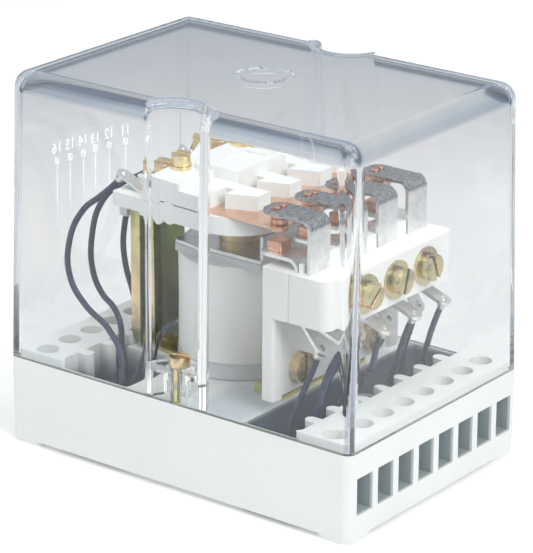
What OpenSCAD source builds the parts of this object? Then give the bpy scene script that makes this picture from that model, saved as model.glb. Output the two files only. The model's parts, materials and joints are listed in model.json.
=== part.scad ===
// Open-frame power relay in a clear cover: a hinged armature works four
// changeover contacts above a round coil, and screw terminals lie in both ends
// of the base. X runs along the base, Z is up and the feet stand on z = 0.

/* [Base] */
// Length over the terminal ends
base_l = 106; // [104:1:112]
// Width over the long faces
base_w = 72; // [70:1:78]
// Height of the seam between base and cover
seam_z = 22.8; // [22:0.1:25]
// Radius of the upright corners
base_r = 2.5; // [1.5:0.5:4]
// Height of the four feet
foot_h = 1.2; // [0.8:0.1:2]
// Side length of a foot
foot_l = 10.4; // [9:0.1:14]
// Corner radius of a foot
foot_r = 3.2; // [2:0.1:4]
// Wall of the long sides
side_wall = 2.7; // [2.2:0.1:3.2]
// Floor thickness of the wiring pits
floor_t = 4.8; // [3.5:0.1:6]
// Rise of the terminal decks above the seam
deck_rise = 2; // [1.5:0.1:3]
// Length of a terminal deck, measured from the end face
deck_l = 16; // [15:0.5:17]
// Left edge of the coil platform
platform_x0 = -16; // [-18:0.5:-15]
// Right edge of the coil platform
platform_x1 = 20.5; // [20:0.5:22]
// Depth of the platform below the seam
platform_drop = 0.3; // [0.1:0.1:0.8]
// Half width of the ledge that carries the yoke
ledge_w = 12; // [11:0.5:14]
// Radius of a mounting screw hole
mount_r = 2.25; // [2:0.05:2.6]
// Radius of the well round a mounting screw head
well_r = 3.6; // [3.3:0.1:4]
// Wall of that well
well_wall = 1.3; // [1:0.1:1.6]

/* [Terminals] */
// Terminals on each end
ways = 8; // [6:1:8]
// Distance between terminals
way_pitch = 8.5; // [8.3:0.1:8.8]
// Width of a wire entry
entry_w = 6.3; // [6.1:0.1:6.6]
// Height of a wire entry
entry_h = 9.5; // [9:0.1:10]
// Height of the entry's lower edge
entry_z = 6.8; // [6:0.1:7.2]
// Depth of a terminal chamber
chamber_l = 12; // [11.5:0.1:12.5]
// Radius of a screwdriver hole
access_r = 2.9; // [2.7:0.05:3.1]
// Distance from the end face to the terminal screws
access_in = 8.5; // [8.2:0.1:8.8]
// Length of a clamp along the wire
clamp_l = 6.2; // [5.6:0.1:6.4]
// Wall of a clamp
clamp_wall = 0.9; // [0.7:0.1:1.1]
// Width of a solder tag
tag_w = 3; // [2.6:0.1:3.4]
// Reach of a solder tag into the pit
tag_reach = 2.8; // [2:0.1:3.2]

/* [Cover] */
// Height of the cover above the seam
cover_h = 74.6; // [74:0.2:80]
// Wall of the cover
cover_wall = 2.2; // [1.8:0.1:2.6]
// Taper of each side from seam to top
cover_draft = 0.9; // [0.5:0.1:2.4]
// Radius of the top edges
cover_top_r = 4.4; // [3.5:0.1:6]
// Radius of the half-round screw grooves
groove_r = 7.5; // [7:0.1:8.5]
// Rounding at the mouth of a groove
groove_flare = 1.6; // [1:0.1:2.5]
// Height of the groove shelf above the seam
shelf_h = 9.2; // [8:0.1:12]
// Thickness of the groove shelf
shelf_t = 2.6; // [2:0.1:3.5]
// Radius of the sprue mark
sprue_r = 7.6; // [7:0.1:9]
// Distance from the long face to the cover screws
cover_screw_in = 2.9; // [2.8:0.1:3.6]
// Radius of the cover screws' heads
cover_head_r = 2.6; // [2.4:0.05:2.8]

/* [Magnet] */
// Place of the coil along the base
coil_x = -6.1; // [-6.6:0.1:-5.6]
// Outer radius of the coil
coil_r = 16; // [14:0.5:16]
// Height of the winding
coil_h = 25.6; // [24:0.2:26]
// Thickness of the lower bobbin flange
flange_low_t = 3.9; // [3.7:0.1:4.2]
// Thickness of the upper bobbin flange
flange_top_t = 1.9; // [1.5:0.1:2.2]
// Half width of the upper bobbin flange
flange_w = 12.2; // [11:0.1:13]
// Radius of the core inside the coil
core_r = 4; // [3.5:0.1:5]
// Radius of the pole face
pole_r = 5.5; // [5:0.1:7]
// Height of the pole piece
pole_h = 3.8; // [3.4:0.1:4.2]
// Thickness of the coil plate
plate_t = 1; // [0.8:0.1:1.2]
// Height of the plate's turned-up end
plate_lip_h = 7; // [5:0.5:7.5]
// Thickness of the yoke
yoke_t = 3.3; // [3:0.1:3.4]
// Width of the yoke
yoke_w = 20; // [18:0.5:22]
// Left face of the yoke
yoke_x = -33.5; // [-34:0.1:-33]
// Outer radius of the yoke's bend
yoke_bend_r = 5; // [4:0.5:6]
// Working air gap at the pole
air_gap = 1.4; // [1.3:0.1:1.8]
// Thickness of the armature
armature_t = 2.5; // [2:0.1:2.8]
// Clearance between armature and yoke
hinge_gap = 0.3; // [0.2:0.05:0.4]

/* [Contacts] */
// Number of changeover contacts
poles = 4; // [2:1:4]
// Distance between contacts
pole_pitch = 12.5; // [12.2:0.1:12.6]
// Width of the contact strips
strip_w = 8; // [7:0.1:8.4]
// Thickness of the fixed brackets
bracket_t = 0.95; // [0.8:0.05:1.1]
// Thickness of the moving springs
spring_t = 0.4; // [0.3:0.05:0.6]
// Place of the contact centres along the base
contact_x = 19.8; // [19.4:0.1:20.2]
// Stroke of the contacts
contact_gap = 2.2; // [2.2:0.05:2.6]
// Thickness of a moving contact, rivet heads included
moving_contact_t = 3.3; // [3:0.1:3.6]
// Thickness of an upper contact button
upper_contact_t = 1.4; // [1.2:0.1:1.6]
// Thickness of a lower contact button
lower_contact_t = 2.5; // [2:0.1:3]
// Radius of the contact buttons
contact_r = 2.1; // [1.7:0.1:2.4]

/* [Carrier] */
// Half width of the contact carrier
carrier_w = 24; // [23.6:0.1:25]
// Thickness of the lower moulding
carrier_low_t = 4.4; // [4:0.1:4.6]
// Height of the upper moulding above the springs
carrier_up_h = 5.5; // [5:0.1:6.5]
// Height of a spring keeper tooth
tooth_h = 3.8; // [3:0.1:4.5]
// Right end of the lower moulding
carrier_x1 = 14.5; // [13.5:0.1:15]
// Left end of the upper moulding
clamp_x0 = -18; // [-19:0.1:-17.5]

/* [Contact block] */
// Half width of the contact block
block_w = 25; // [24.6:0.1:26]
// Height of the block
block_h = 12.4; // [11:0.1:13]
// Left face of the inner layer
block_x0 = 19.2; // [19:0.1:19.5]
// Thickness of the inner layer
inner_t = 8.2; // [7.8:0.1:8.6]
// Thickness of the middle layer
middle_t = 4.6; // [4.4:0.1:5.2]
// Thickness of the outer layer
outer_t = 6.7; // [6.2:0.1:7]
// Height of the block's lower edge above the platform
block_lift = 24.8; // [24:0.1:26]
// Thickness of the block's web
web_t = 2.6; // [2.2:0.1:3]
// Thickness of the web's end ribs
web_rib_t = 3.8; // [3.4:0.1:4.2]
// Gap under the web
web_foot = 3.2; // [2:0.1:4]
// Height of the support screws above the platform
support_z = 9; // [8:0.1:10]
// Spacing of the support screws
support_pitch = 27; // [24:0.5:30]
// Thickness of the support bracket
support_t = 2.4; // [2:0.1:2.8]

/* [Screws] */
// Radius of the small machine screws
screw_r = 1.5; // [1.3:0.05:1.6]
// Radius of a cheese head
head_r = 3.3; // [3:0.05:3.5]
// Height of a cheese head
head_h = 2.6; // [2:0.1:3]
// Radius of the support screws' heads
support_head_r = 3.75; // [3.4:0.05:4]
// Width of a driver slot
slot_w = 0.9; // [0.6:0.1:1.2]
// Radius of a plain washer
washer_r = 4.8; // [4.4:0.1:5]
// Thickness of a plain washer
washer_t = 0.8; // [0.6:0.1:1]
// Radial clearance round a screw
fit = 0.05; // [0.03:0.01:0.1]
// Clearance between seated mouldings
seat_gap = 0.15; // [0.1:0.05:0.25]

/* [Hidden] */
$fn = 40;

// Base levels and places
half_l = base_l / 2;
half_w = base_w / 2;
deck_z = seam_z + deck_rise;
deck_x = half_l - deck_l;
platform_z = seam_z - platform_drop;
pit_z = foot_h + floor_t;
pit_w = half_w - side_wall;
spigot_x = half_l - cover_wall - seat_gap;
spigot_w = half_w - cover_wall - seat_gap;
chamber_x = half_l - chamber_l;
access_x = half_l - access_in;
finger_r = 1.5;
finger_x = deck_x - 3.7;
core_boss_w = 7;
pocket_wall = 2.6;
pocket_w = half_w - cover_screw_in - screw_r - 2;
pocket_x0 = platform_x0 + pocket_wall;
pocket_x1 = platform_x1 - pocket_wall;
mount_x = deck_x - well_r - 0.1;
mount_right_y = -way_pitch / 2;
mount_left_y = 2.5 * way_pitch;

// Terminal clamps
clamp_gap = 0.2;
clamp_w = entry_w - 2 * clamp_gap;
clamp_x = access_x - clamp_l / 2;
clamp_z0 = entry_z + seat_gap;
clamp_z1 = entry_z + entry_h - seat_gap;
clamp_open = 4.4;
spare_right = [3];
spare_left = [4, 6];
small_head_r = access_r - 0.3;
small_head_h = 1.8;

// Cover levels
top_z = seam_z + cover_h;
shelf_z = seam_z + shelf_h;
cover_screw_y = half_w - cover_screw_in;
cover_boss_r = screw_r + 2.2;
base_boss_z = deck_z;

// Magnet levels, from the platform upwards
leg_z = platform_z + yoke_t;
flange_z0 = platform_z + 0.2;
winding_z0 = flange_z0 + flange_low_t;
winding_z1 = winding_z0 + coil_h;
plate_z = winding_z1 + flange_top_t;
pole_z0 = plate_z + plate_t;
pole_z1 = pole_z0 + pole_h;
armature_z = pole_z1 + air_gap;
yoke_z1 = armature_z - hinge_gap;
yoke_x1 = yoke_x + yoke_t;
yoke_toe = 6;
yoke_leg_x1 = coil_x + core_r + yoke_toe;
flange_x0 = coil_x - flange_w;
flange_x1 = coil_x + 15.1;
hub_r = core_r + 4;
core_screw_r = 2;
core_screw_z = platform_z - 6.5;
hinge_x = yoke_x1 - 1.5;
stud_z = platform_z + 18.5;
stud_r = 0.8;
return_r = 1.6;
return_wire_r = 0.3;
return_turns = 7;
tail_x1 = yoke_x - 1.1;
tail_x0 = tail_x1 - armature_t;
tail_drop = 3.6;
tail_z = armature_z - tail_drop;
armature_x1 = coil_x + pole_r + 2;

// Carrier and springs
carrier_z0 = armature_z + armature_t + 1.5;
spring_z = carrier_z0 + carrier_low_t;
spring_top = spring_z + spring_t;
upper_z = spring_top + carrier_up_h;
seat_x0 = -27;
seat_x1 = armature_x1 - 1;
lug_neck = 4;
lug_x0 = clamp_x0 - lug_neck;
carrier_step = 11;
tooth_neck = 3.2;
tooth_reach = 10.9;
tooth_gap = 0.2;
tip_r = 3;
tip_x = contact_x + 2.7;
carrier_screw_y = pole_pitch;
carrier_screw_x0 = clamp_x0 - 4.6;
carrier_screw_x1 = clamp_x0 + 3.4;
ear_z = upper_z - 2.8;
wave_t = 0.9;
lobe_r = 2.6;
lobe_in = 2.8;
rivet_y = 6.5;
rivet_x = -14;
rivet_r = 1.6;

// Contacts, from the moving springs up and down
contact_top = spring_top + moving_contact_t * 0.45;
contact_low = contact_top - moving_contact_t;
rest_gap = 0.1;
upper_contact_z = contact_top + rest_gap;
bracket_up_z = upper_contact_z + upper_contact_t;
lower_contact_z = contact_low - contact_gap;
bracket_low_z = lower_contact_z - lower_contact_t - bracket_t;
bend_r = 3;

// Contact block
block_z0 = platform_z + block_lift;
block_z1 = block_z0 + block_h;
inner_x1 = block_x0 + inner_t;
middle_x1 = inner_x1 + middle_t;
outer_x1 = middle_x1 + outer_t;
web_z0 = platform_z + web_foot;
tail_w = 5.4;
lug_w = 4;
block_screw_z = block_z0 + block_h * 0.52;
block_edge_r = 2.7;
tower_h = 3.6;
support_x1 = block_x0 - seat_gap;
support_x0 = max(coil_x + coil_r + 0.4, support_x1 - 9);
support_w = 16;
foot_screw_x = (support_x0 + support_x1 - support_t - 1) / 2;
foot_screw_y = 4;

// Wires
wire_r = 0.7;
wire_sides = 8;

function pole_y(i) = (i - (poles - 1) / 2) * pole_pitch;
function way_y(i) = (i - (ways - 1) / 2) * way_pitch;
function between_y(i) = pole_y(i) + pole_pitch / 2;

// A route's points keep their lug end and follow the deck with their tag end
routed_deck_x = 37;
tag_z = 8.7;
function laid(route, side) =
    [for (p = route) p + [side * (deck_x - routed_deck_x) * (route[0].z - p.z) / (route[0].z - tag_z), 0, 0]];

// Routes of the wires, each from a solder lug down to a solder tag
right_routes = [
    [[31.9, -18.8, 38.9], [31.2, -19.2, 36], [28.6, -21, 27.8], [27.4, -24.4, 19.4], [30, -28.6, 11.4],
        [35.8, -29.8, 8.7]],
    [[39.9, -18.8, 42.3], [37.6, -19.8, 39], [35.6, -21.2, 33], [34.4, -21.6, 28], [32, -21.6, 20],
        [31, -21.3, 12], [35.8, -21.2, 8.7]],
    [[31.9, -6.2, 38.9], [31, -7.4, 35], [28.2, -10.4, 27], [27.2, -12.9, 18], [29.8, -12.9, 10.6],
        [35.8, -12.8, 8.7]],
    [[39.9, -6.2, 42.3], [37.8, -5.6, 38.6], [35, -3.6, 32], [29.6, 0.2, 26.2], [26.8, 2.8, 15.6],
        [35.8, 4.2, 8.7]],
    [[39.9, 6.2, 42.3], [37.8, 7, 38.6], [34.4, 8.6, 31], [30.4, 10.8, 21], [30.2, 12.2, 11.6],
        [35.8, 12.8, 8.7]],
    [[31.9, 18.8, 38.9], [31, 19, 35], [28.2, 19.8, 27], [27.2, 20.8, 18], [29.8, 21.1, 10.6],
        [35.8, 21.2, 8.7]],
    [[39.9, 18.8, 42.3], [38, 19.6, 38.6], [34.4, 21.6, 31], [30.4, 25.2, 21], [30.4, 28.6, 12],
        [35.8, 29.8, 8.7]]];
left_routes = [
    [[-28.8, -18.8, 70.9], [-30.8, -18.9, 68.6], [-35, -20, 64.6], [-39.2, -21.2, 60.8], [-43.6, -22, 51],
        [-43.2, -22, 41.5], [-38.4, -22, 35.6], [-30.5, -22.4, 31], [-24.6, -24.4, 24], [-25.8, -28.2, 13],
        [-35.8, -29.8, 8.7]],
    [[-28.8, -6.2, 70.9], [-31.2, -7, 68.4], [-36.4, -9.8, 65.2], [-41.4, -11.4, 60], [-44.6, -12, 50],
        [-44, -12.4, 40.5], [-41.6, -11.8, 35], [-38.2, -11, 31.4], [-35.6, -11.6, 26.5], [-35.4, -12.7, 18],
        [-35.5, -12.8, 8]],
    [[-28.8, 6.2, 70.9], [-31.4, 5.8, 68.2], [-36.8, 3.8, 65], [-41.6, 0.6, 57.5], [-42.6, -1.8, 49],
        [-42, -2.2, 41], [-39.6, -2, 33], [-36.4, -3.2, 27], [-35.5, -4.2, 20], [-35.5, -4.2, 8]],
    [[-28.8, 18.8, 70.9], [-31.4, 18.8, 68], [-37, 18.6, 62], [-40.6, 17.8, 54], [-40.4, 16.6, 44],
        [-36.4, 15, 33], [-30.6, 13.8, 21], [-30.8, 13.2, 11.4], [-35.8, 12.8, 8.7]]];
lead_routes = [
    [[-18.5, 10.4, 31], [-20.6, 12.2, 30.6], [-24.6, 17, 27], [-26.6, 23.6, 18], [-29, 28.4, 11],
        [-35.8, 29.8, 8.7]],
    [[-19.2, -9.5, 31], [-21.4, -11.6, 30.8], [-23.6, -14, 27.6], [-25.2, -16.6, 21], [-27.6, -19.6, 13.6],
        [-31.6, -21.1, 9.8], [-35.8, -21.2, 8.7]]];

module rounded_rect(l, w, r) {
    square([l - 2 * r, w], center = true);
    square([l, w - 2 * r], center = true);
    for (sx = [-1, 1], sy = [-1, 1]) translate([sx * (l / 2 - r), sy * (w / 2 - r)]) circle(r);
}

// A plate between two corners with rounded upright edges
module block(x0, x1, y0, y1, z0, z1, r) {
    translate([(x0 + x1) / 2, (y0 + y1) / 2, z0]) linear_extrude(z1 - z0) rounded_rect(x1 - x0, y1 - y0, r);
}

module box(x0, x1, y0, y1, z0, z1) {
    translate([x0, y0, z0]) cube([x1 - x0, y1 - y0, z1 - z0]);
}

module both_ends() {
    children();
    mirror([1, 0, 0]) children();
}

module both_sides() {
    children();
    mirror([0, 1, 0]) children();
}

// A cheese-head screw pointing down, its head standing on z = 0
module cheese_screw(r, hr, hh, length) {
    difference() {
        union() {
            cylinder(r = hr, h = hh);
            translate([0, 0, -length]) cylinder(r = r, h = length + 0.1);
        }
        translate([-hr - 1, -slot_w / 2, hh * 0.45]) cube([2 * hr + 2, slot_w, hh]);
    }
}

function unit(v) = v / norm(v);
function heading(p, i) = unit(p[min(i + 1, len(p) - 1)] - p[max(i - 1, 0)]);
function ring(p, i, r, n) =
    let (t = heading(p, i), u = unit(cross(t, [0, 1, 0])), v = cross(t, u))
    [for (k = [0:n - 1]) p[i] + r * (cos(360 * k / n) * u + sin(360 * k / n) * v)];

// A round tube through the points of a route
module tube(p, r, n) {
    last = (len(p) - 1) * n;
    sides = [for (i = [0:len(p) - 2], k = [0:n - 1]) [i * n + k, i * n + (k + 1) % n]];
    polyhedron(
        points = [for (i = [0:len(p) - 1]) each ring(p, i, r, n)],
        faces = concat(
            [[for (k = [0:n - 1]) k]],
            [for (s = sides) [s[0], s[0] + n, s[1] + n]],
            [for (s = sides) [s[0], s[1] + n, s[1]]],
            [[for (k = [n - 1:-1:0]) last + k]]),
        convexity = 6);
}

function is_spare(i, spares) = len(search(i, spares)) > 0;

module pits() {
    block(-deck_x, deck_x, -pit_w, pit_w, platform_z, deck_z + 1, 2);
    block(platform_x1, deck_x, -pit_w, pit_w, pit_z, deck_z + 1, 2);
    both_sides() block(-deck_x, platform_x0, -pit_w, -ledge_w, pit_z, deck_z + 1, 2);
    box(-deck_x, yoke_x, -ledge_w - 3, ledge_w + 3, pit_z, deck_z + 1);
}

module finger(y) {
    box(finger_x + finger_r, deck_x + 0.5, y - finger_r, y + finger_r, pit_z - 0.5, deck_z);
    translate([finger_x + finger_r, y, pit_z - 0.5]) cylinder(r = finger_r, h = deck_z - pit_z + 0.5);
}

module way_cuts(spares) {
    for (i = [0:ways - 1]) {
        box(chamber_x, half_l + 1, way_y(i) - entry_w / 2, way_y(i) + entry_w / 2,
            entry_z, entry_z + entry_h);
        translate([access_x, way_y(i), entry_z + entry_h - 0.5]) cylinder(r = access_r, h = deck_z - entry_z);
        if (!is_spare(i, spares))
            box(deck_x - 0.5, chamber_x + 0.5,
                way_y(i) - tag_w / 2 - seat_gap, way_y(i) + tag_w / 2 + seat_gap,
                clamp_z0 - seat_gap, clamp_z0 + clamp_wall + seat_gap);
    }
}

module base_moulding() {
    color([0.89, 0.91, 0.9]) difference() {
        union() {
            difference() {
                union() {
                    translate([0, 0, foot_h]) linear_extrude(seam_z - foot_h)
                        rounded_rect(base_l, base_w, base_r);
                    both_ends() block(deck_x - 1, spigot_x, -spigot_w, spigot_w, seam_z - 1, deck_z, 0.9);
                }
                pits();
            }
            both_ends() both_sides()
                block(half_l - foot_l, half_l, half_w - foot_l, half_w, 0, foot_h + 0.5, foot_r);
            both_ends() for (i = [0:ways - 2]) finger(way_y(i) + way_pitch / 2);
            translate([mount_x, mount_right_y, pit_z - 0.5])
                cylinder(r = well_r + well_wall, h = platform_z - pit_z);
            translate([-mount_x, mount_left_y, pit_z - 0.5])
                cylinder(r = well_r + well_wall, h = platform_z - pit_z);
            both_sides() intersection() {
                translate([0, -cover_screw_y, platform_z - 0.5])
                    cylinder(r = cover_boss_r, h = deck_z - platform_z + 0.5);
                box(-half_l, half_l, -spigot_w, 0, 0, deck_z + 1);
            }
        }
        way_cuts(spare_right);
        mirror([1, 0, 0]) way_cuts(spare_left);
        translate([mount_x, mount_right_y, pit_z]) cylinder(r = well_r, h = deck_z);
        translate([mount_x, mount_right_y, -1]) cylinder(r = mount_r, h = deck_z);
        translate([-mount_x, mount_left_y, pit_z]) cylinder(r = well_r, h = deck_z);
        translate([-mount_x, mount_left_y, -1]) cylinder(r = mount_r, h = deck_z);
        both_sides() translate([0, -cover_screw_y, pit_z + 6]) cylinder(r = screw_r + fit, h = deck_z);
        both_sides() block(pocket_x0, pocket_x1, -pocket_w, -core_boss_w, -1, platform_z - pocket_wall, 1.5);
        translate([coil_x, 0, -1]) cylinder(r = core_screw_r * 2 + 0.4, h = core_screw_z + 1);
        translate([coil_x, 0, 0]) cylinder(r = core_screw_r + fit, h = deck_z);
        both_sides() translate([foot_screw_x, -foot_screw_y, platform_z - 7.5])
            cylinder(r = screw_r + fit, h = 9);
    }
}

// The cover's outer or inner form: drafted sides and rounded top edges
module cover_form(inset, z0) {
    r = cover_top_r - inset;
    hull() {
        translate([0, 0, z0]) linear_extrude(0.1)
            rounded_rect(base_l - 2 * inset, base_w - 2 * inset, max(base_r - inset, 0.5));
        for (sx = [-1, 1], sy = [-1, 1])
            translate([sx * (half_l - cover_draft - inset - r), sy * (half_w - cover_draft - inset - r),
                top_z - inset - r])
                sphere(r, $fn = 32);
    }
}

module groove_walls() {
    both_sides() difference() {
        translate([0, -half_w, seam_z]) cylinder(r = groove_r + cover_wall, h = cover_h);
        translate([0, -half_w, seam_z - 1]) cylinder(r = groove_r, h = shelf_h - shelf_t + 1);
    }
    both_sides() translate([0, -cover_screw_y, deck_z + seat_gap])
        cylinder(r = cover_boss_r, h = shelf_z - deck_z - 1);
}

module groove_cut() {
    translate([0, -half_w, shelf_z]) cylinder(r = groove_r, h = cover_h);
    translate([0, -half_w, top_z - groove_flare]) rotate_extrude() difference() {
        square([groove_r + groove_flare, groove_flare + 1]);
        translate([groove_r + groove_flare, 0]) circle(groove_flare);
    }
}

module cover() {
    color([0.8, 0.86, 0.9, 0.35]) difference() {
        union() {
            difference() {
                cover_form(0, seam_z);
                cover_form(cover_wall, seam_z - 1);
            }
            intersection() {
                cover_form(0, seam_z);
                groove_walls();
            }
        }
        both_sides() groove_cut();
        both_sides() translate([0, -cover_screw_y, seam_z]) cylinder(r = screw_r + 0.2, h = shelf_h + 1);
        translate([0, 0, top_z - 0.5]) difference() {
            cylinder(r = sprue_r, h = 2);
            translate([0, 0, -1]) cylinder(r = sprue_r - 2.2, h = 4);
        }
    }
}

module cover_screws() {
    color([0.72, 0.66, 0.4]) both_sides() translate([0, -cover_screw_y, shelf_z])
        cheese_screw(screw_r, cover_head_r, head_h, shelf_z - pit_z - 7);
}

module terminal_clamp(y, reach) {
    x1 = clamp_x + clamp_l;
    difference() {
        box(clamp_x, x1, y - clamp_w / 2, y + clamp_w / 2, clamp_z0, clamp_z1);
        box(clamp_x - 1, x1 + 1, y - clamp_w / 2 + clamp_wall, y + clamp_w / 2 - clamp_wall,
            clamp_z0 + clamp_wall, clamp_z0 + clamp_wall + clamp_open);
        translate([access_x, y, clamp_z0 + clamp_wall + 1]) cylinder(r = screw_r + fit, h = entry_h);
    }
    if (reach > 0)
        box(deck_x - reach, clamp_x + 0.5, y - tag_w / 2, y + tag_w / 2, clamp_z0, clamp_z0 + clamp_wall);
}

module terminal_row(spares) {
    for (i = [0:ways - 1]) terminal_clamp(way_y(i), is_spare(i, spares) ? 0 : tag_reach);
}

module terminal_clamps_right() {
    color([0.7, 0.71, 0.7]) terminal_row(spare_right);
}

module terminal_clamps_left() {
    color([0.7, 0.71, 0.7]) mirror([1, 0, 0]) terminal_row(spare_left);
}

module terminal_screw_row() {
    for (i = [0:ways - 1]) translate([access_x, way_y(i), clamp_z1 + 0.2])
        cheese_screw(screw_r, small_head_r, small_head_h, clamp_z1 - clamp_z0 - clamp_wall - clamp_open + 0.5);
}

module terminal_screws_right() {
    color([0.62, 0.62, 0.6]) terminal_screw_row();
}

module terminal_screws_left() {
    color([0.62, 0.62, 0.6]) mirror([1, 0, 0]) terminal_screw_row();
}

// Stands an X-Z profile up and gives it a width along Y
module across(y0, y1) {
    translate([0, y1, 0]) rotate([90, 0, 0]) linear_extrude(y1 - y0) children();
}

module yoke_profile() {
    inner_r = yoke_bend_r - yoke_t;
    difference() {
        union() {
            translate([yoke_x, platform_z]) square([yoke_t, yoke_z1 - platform_z]);
            translate([yoke_x, platform_z]) square([yoke_leg_x1 - yoke_x, yoke_t]);
            difference() {
                translate([yoke_x1 - 0.1, leg_z - 0.1]) square(inner_r + 0.1);
                translate([yoke_x1 + inner_r, leg_z + inner_r]) circle(inner_r);
            }
        }
        difference() {
            translate([yoke_x - 1, platform_z - 1]) square(yoke_bend_r + 1);
            translate([yoke_x + yoke_bend_r, platform_z + yoke_bend_r]) circle(yoke_bend_r);
        }
    }
}

module yoke() {
    color([0.78, 0.66, 0.38]) {
        difference() {
            across(-yoke_w / 2, yoke_w / 2) yoke_profile();
            translate([coil_x, 0, platform_z - 1]) cylinder(r = core_r + fit, h = yoke_t + 2);
            both_sides() translate([yoke_x1 + 4, -yoke_w / 2 + 3.4, platform_z - 1])
                cylinder(r = 1.6, h = yoke_t + 2);
        }
        translate([yoke_x + 0.5, 0, stud_z]) rotate([0, -90, 0])
            cylinder(r = stud_r, h = tail_x1 - tail_x0 + 1.5);
    }
}

module core() {
    color([0.8, 0.6, 0.35]) translate([coil_x, 0, 0]) difference() {
        union() {
            translate([0, 0, platform_z]) cylinder(r = core_r, h = pole_z0 - platform_z + 0.5);
            translate([0, 0, pole_z0]) cylinder(r = pole_r, h = pole_h);
        }
        translate([0, 0, platform_z - 1]) cylinder(r = core_screw_r + fit, h = 11.5);
        translate([0, 0, pole_z0 + pole_h * 0.5]) difference() {
            cylinder(r = pole_r + 1, h = 0.3);
            translate([0, 0, -1]) cylinder(r = pole_r - 0.25, h = 3);
        }
    }
}

module core_screw() {
    color([0.7, 0.7, 0.68]) translate([coil_x, 0, core_screw_z]) rotate([180, 0, 0])
        cheese_screw(core_screw_r, core_screw_r * 2, head_h, platform_z - core_screw_z + 9);
}

module coil_bobbin() {
    color([0.75, 0.77, 0.78]) difference() {
        union() {
            translate([coil_x, 0, flange_z0]) cylinder(r = coil_r, h = flange_low_t);
            translate([coil_x, 0, flange_z0]) cylinder(r = hub_r, h = plate_z - flange_z0 - 0.5);
            block(flange_x0, flange_x1, -flange_w, flange_w, winding_z1, plate_z, 1);
        }
        translate([coil_x, 0, 0]) cylinder(r = core_r + 0.1, h = top_z);
        box(yoke_x, yoke_leg_x1 + seat_gap, -yoke_w / 2 - seat_gap, yoke_w / 2 + seat_gap, 0, leg_z + seat_gap);
    }
}

module coil_winding() {
    color([0.93, 0.93, 0.9]) translate([coil_x, 0, winding_z0]) difference() {
        cylinder(r = coil_r - 0.05, h = coil_h);
        translate([0, 0, -1]) cylinder(r = hub_r + 0.05, h = coil_h + 2);
    }
}

module coil_plate() {
    lip_x = flange_x1 + 0.3;
    color([0.72, 0.73, 0.72]) {
        difference() {
            block(flange_x0 + 0.3, lip_x, -flange_w + 0.2, flange_w - 0.2, plate_z, pole_z0, 0.5);
            translate([coil_x, 0, plate_z - 1]) cylinder(r = core_r + fit, h = 4);
        }
        box(lip_x - plate_t, lip_x, -flange_w + 1, flange_w - 1, plate_z, plate_z + plate_lip_h);
    }
}

function coil_points(x, z0, z1, r, turns, n) =
    [for (k = [0:turns * n])
        [x + r * cos(360 * k / n), r * sin(360 * k / n), z0 + (z1 - z0) * k / (turns * n)]];

module return_spring() {
    x = (tail_x0 + tail_x1) / 2;
    z0 = stud_z + stud_r + return_wire_r + 0.1;
    z1 = tail_z - 0.3;
    color([0.8, 0.8, 0.78]) tube(
        concat([[x, 0, z0], [x + return_r * 0.6, -return_r * 0.4, z0 + 0.5]],
            coil_points(x, z0 + 1, z1 - 1, return_r, return_turns, 10),
            [[x + return_r * 0.6, return_r * 0.4, z1 - 0.5], [x, 0, z1]]), return_wire_r, 6);
}

module armature() {
    top = armature_z + armature_t;
    bend = armature_t;
    color([0.8, 0.81, 0.8]) difference() {
        across(-yoke_w / 2, yoke_w / 2) difference() {
            union() {
                translate([tail_x0, armature_z]) square([armature_x1 - tail_x0, armature_t]);
                translate([tail_x0, tail_z]) square([tail_x1 - tail_x0, top - tail_z]);
            }
            difference() {
                translate([tail_x0 - 1, top - bend]) square(bend + 1);
                translate([tail_x0 + bend, top - bend]) circle(bend);
            }
        }
        both_sides() translate([rivet_x, -rivet_y, armature_z - 1])
            cylinder(r = rivet_r + fit, h = armature_t + 2);
    }
}

module armature_rivets() {
    head = rivet_r * 1.6;
    color([0.75, 0.75, 0.72]) both_sides() translate([rivet_x, -rivet_y, 0]) {
        translate([0, 0, armature_z - 0.9]) cylinder(r = head, h = 0.9);
        translate([0, 0, armature_z - 0.5]) cylinder(r = rivet_r, h = carrier_z0 - armature_z + 2.4);
        translate([0, 0, carrier_z0 + 1.5]) cylinder(r = head, h = 1);
    }
}

module carrier_low_plan() {
    r = carrier_w / 2;
    difference() {
        translate([clamp_x0 - 1, -carrier_w]) square([carrier_x1 - clamp_x0 + 1, 2 * carrier_w]);
        both_sides() difference() {
            translate([carrier_x1 - r, -carrier_w - 1]) square(r + 1);
            translate([carrier_x1 - r, -carrier_w + r]) circle(r);
        }
    }
}

// The wavy parting line shows in a thin band at each side of the carrier
module wave_down(extra) {
    both_sides() across(-carrier_w - extra, -carrier_w + wave_t + extra)
        translate([clamp_x0 + 2.2, spring_z + 1.4]) circle(2.3 + extra);
}

module wave_up(extra) {
    both_sides() across(-carrier_w - extra, -carrier_w + wave_t + extra)
        translate([clamp_x0 + 7.2, spring_z - 2.2]) circle(2.9 + extra);
}

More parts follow.
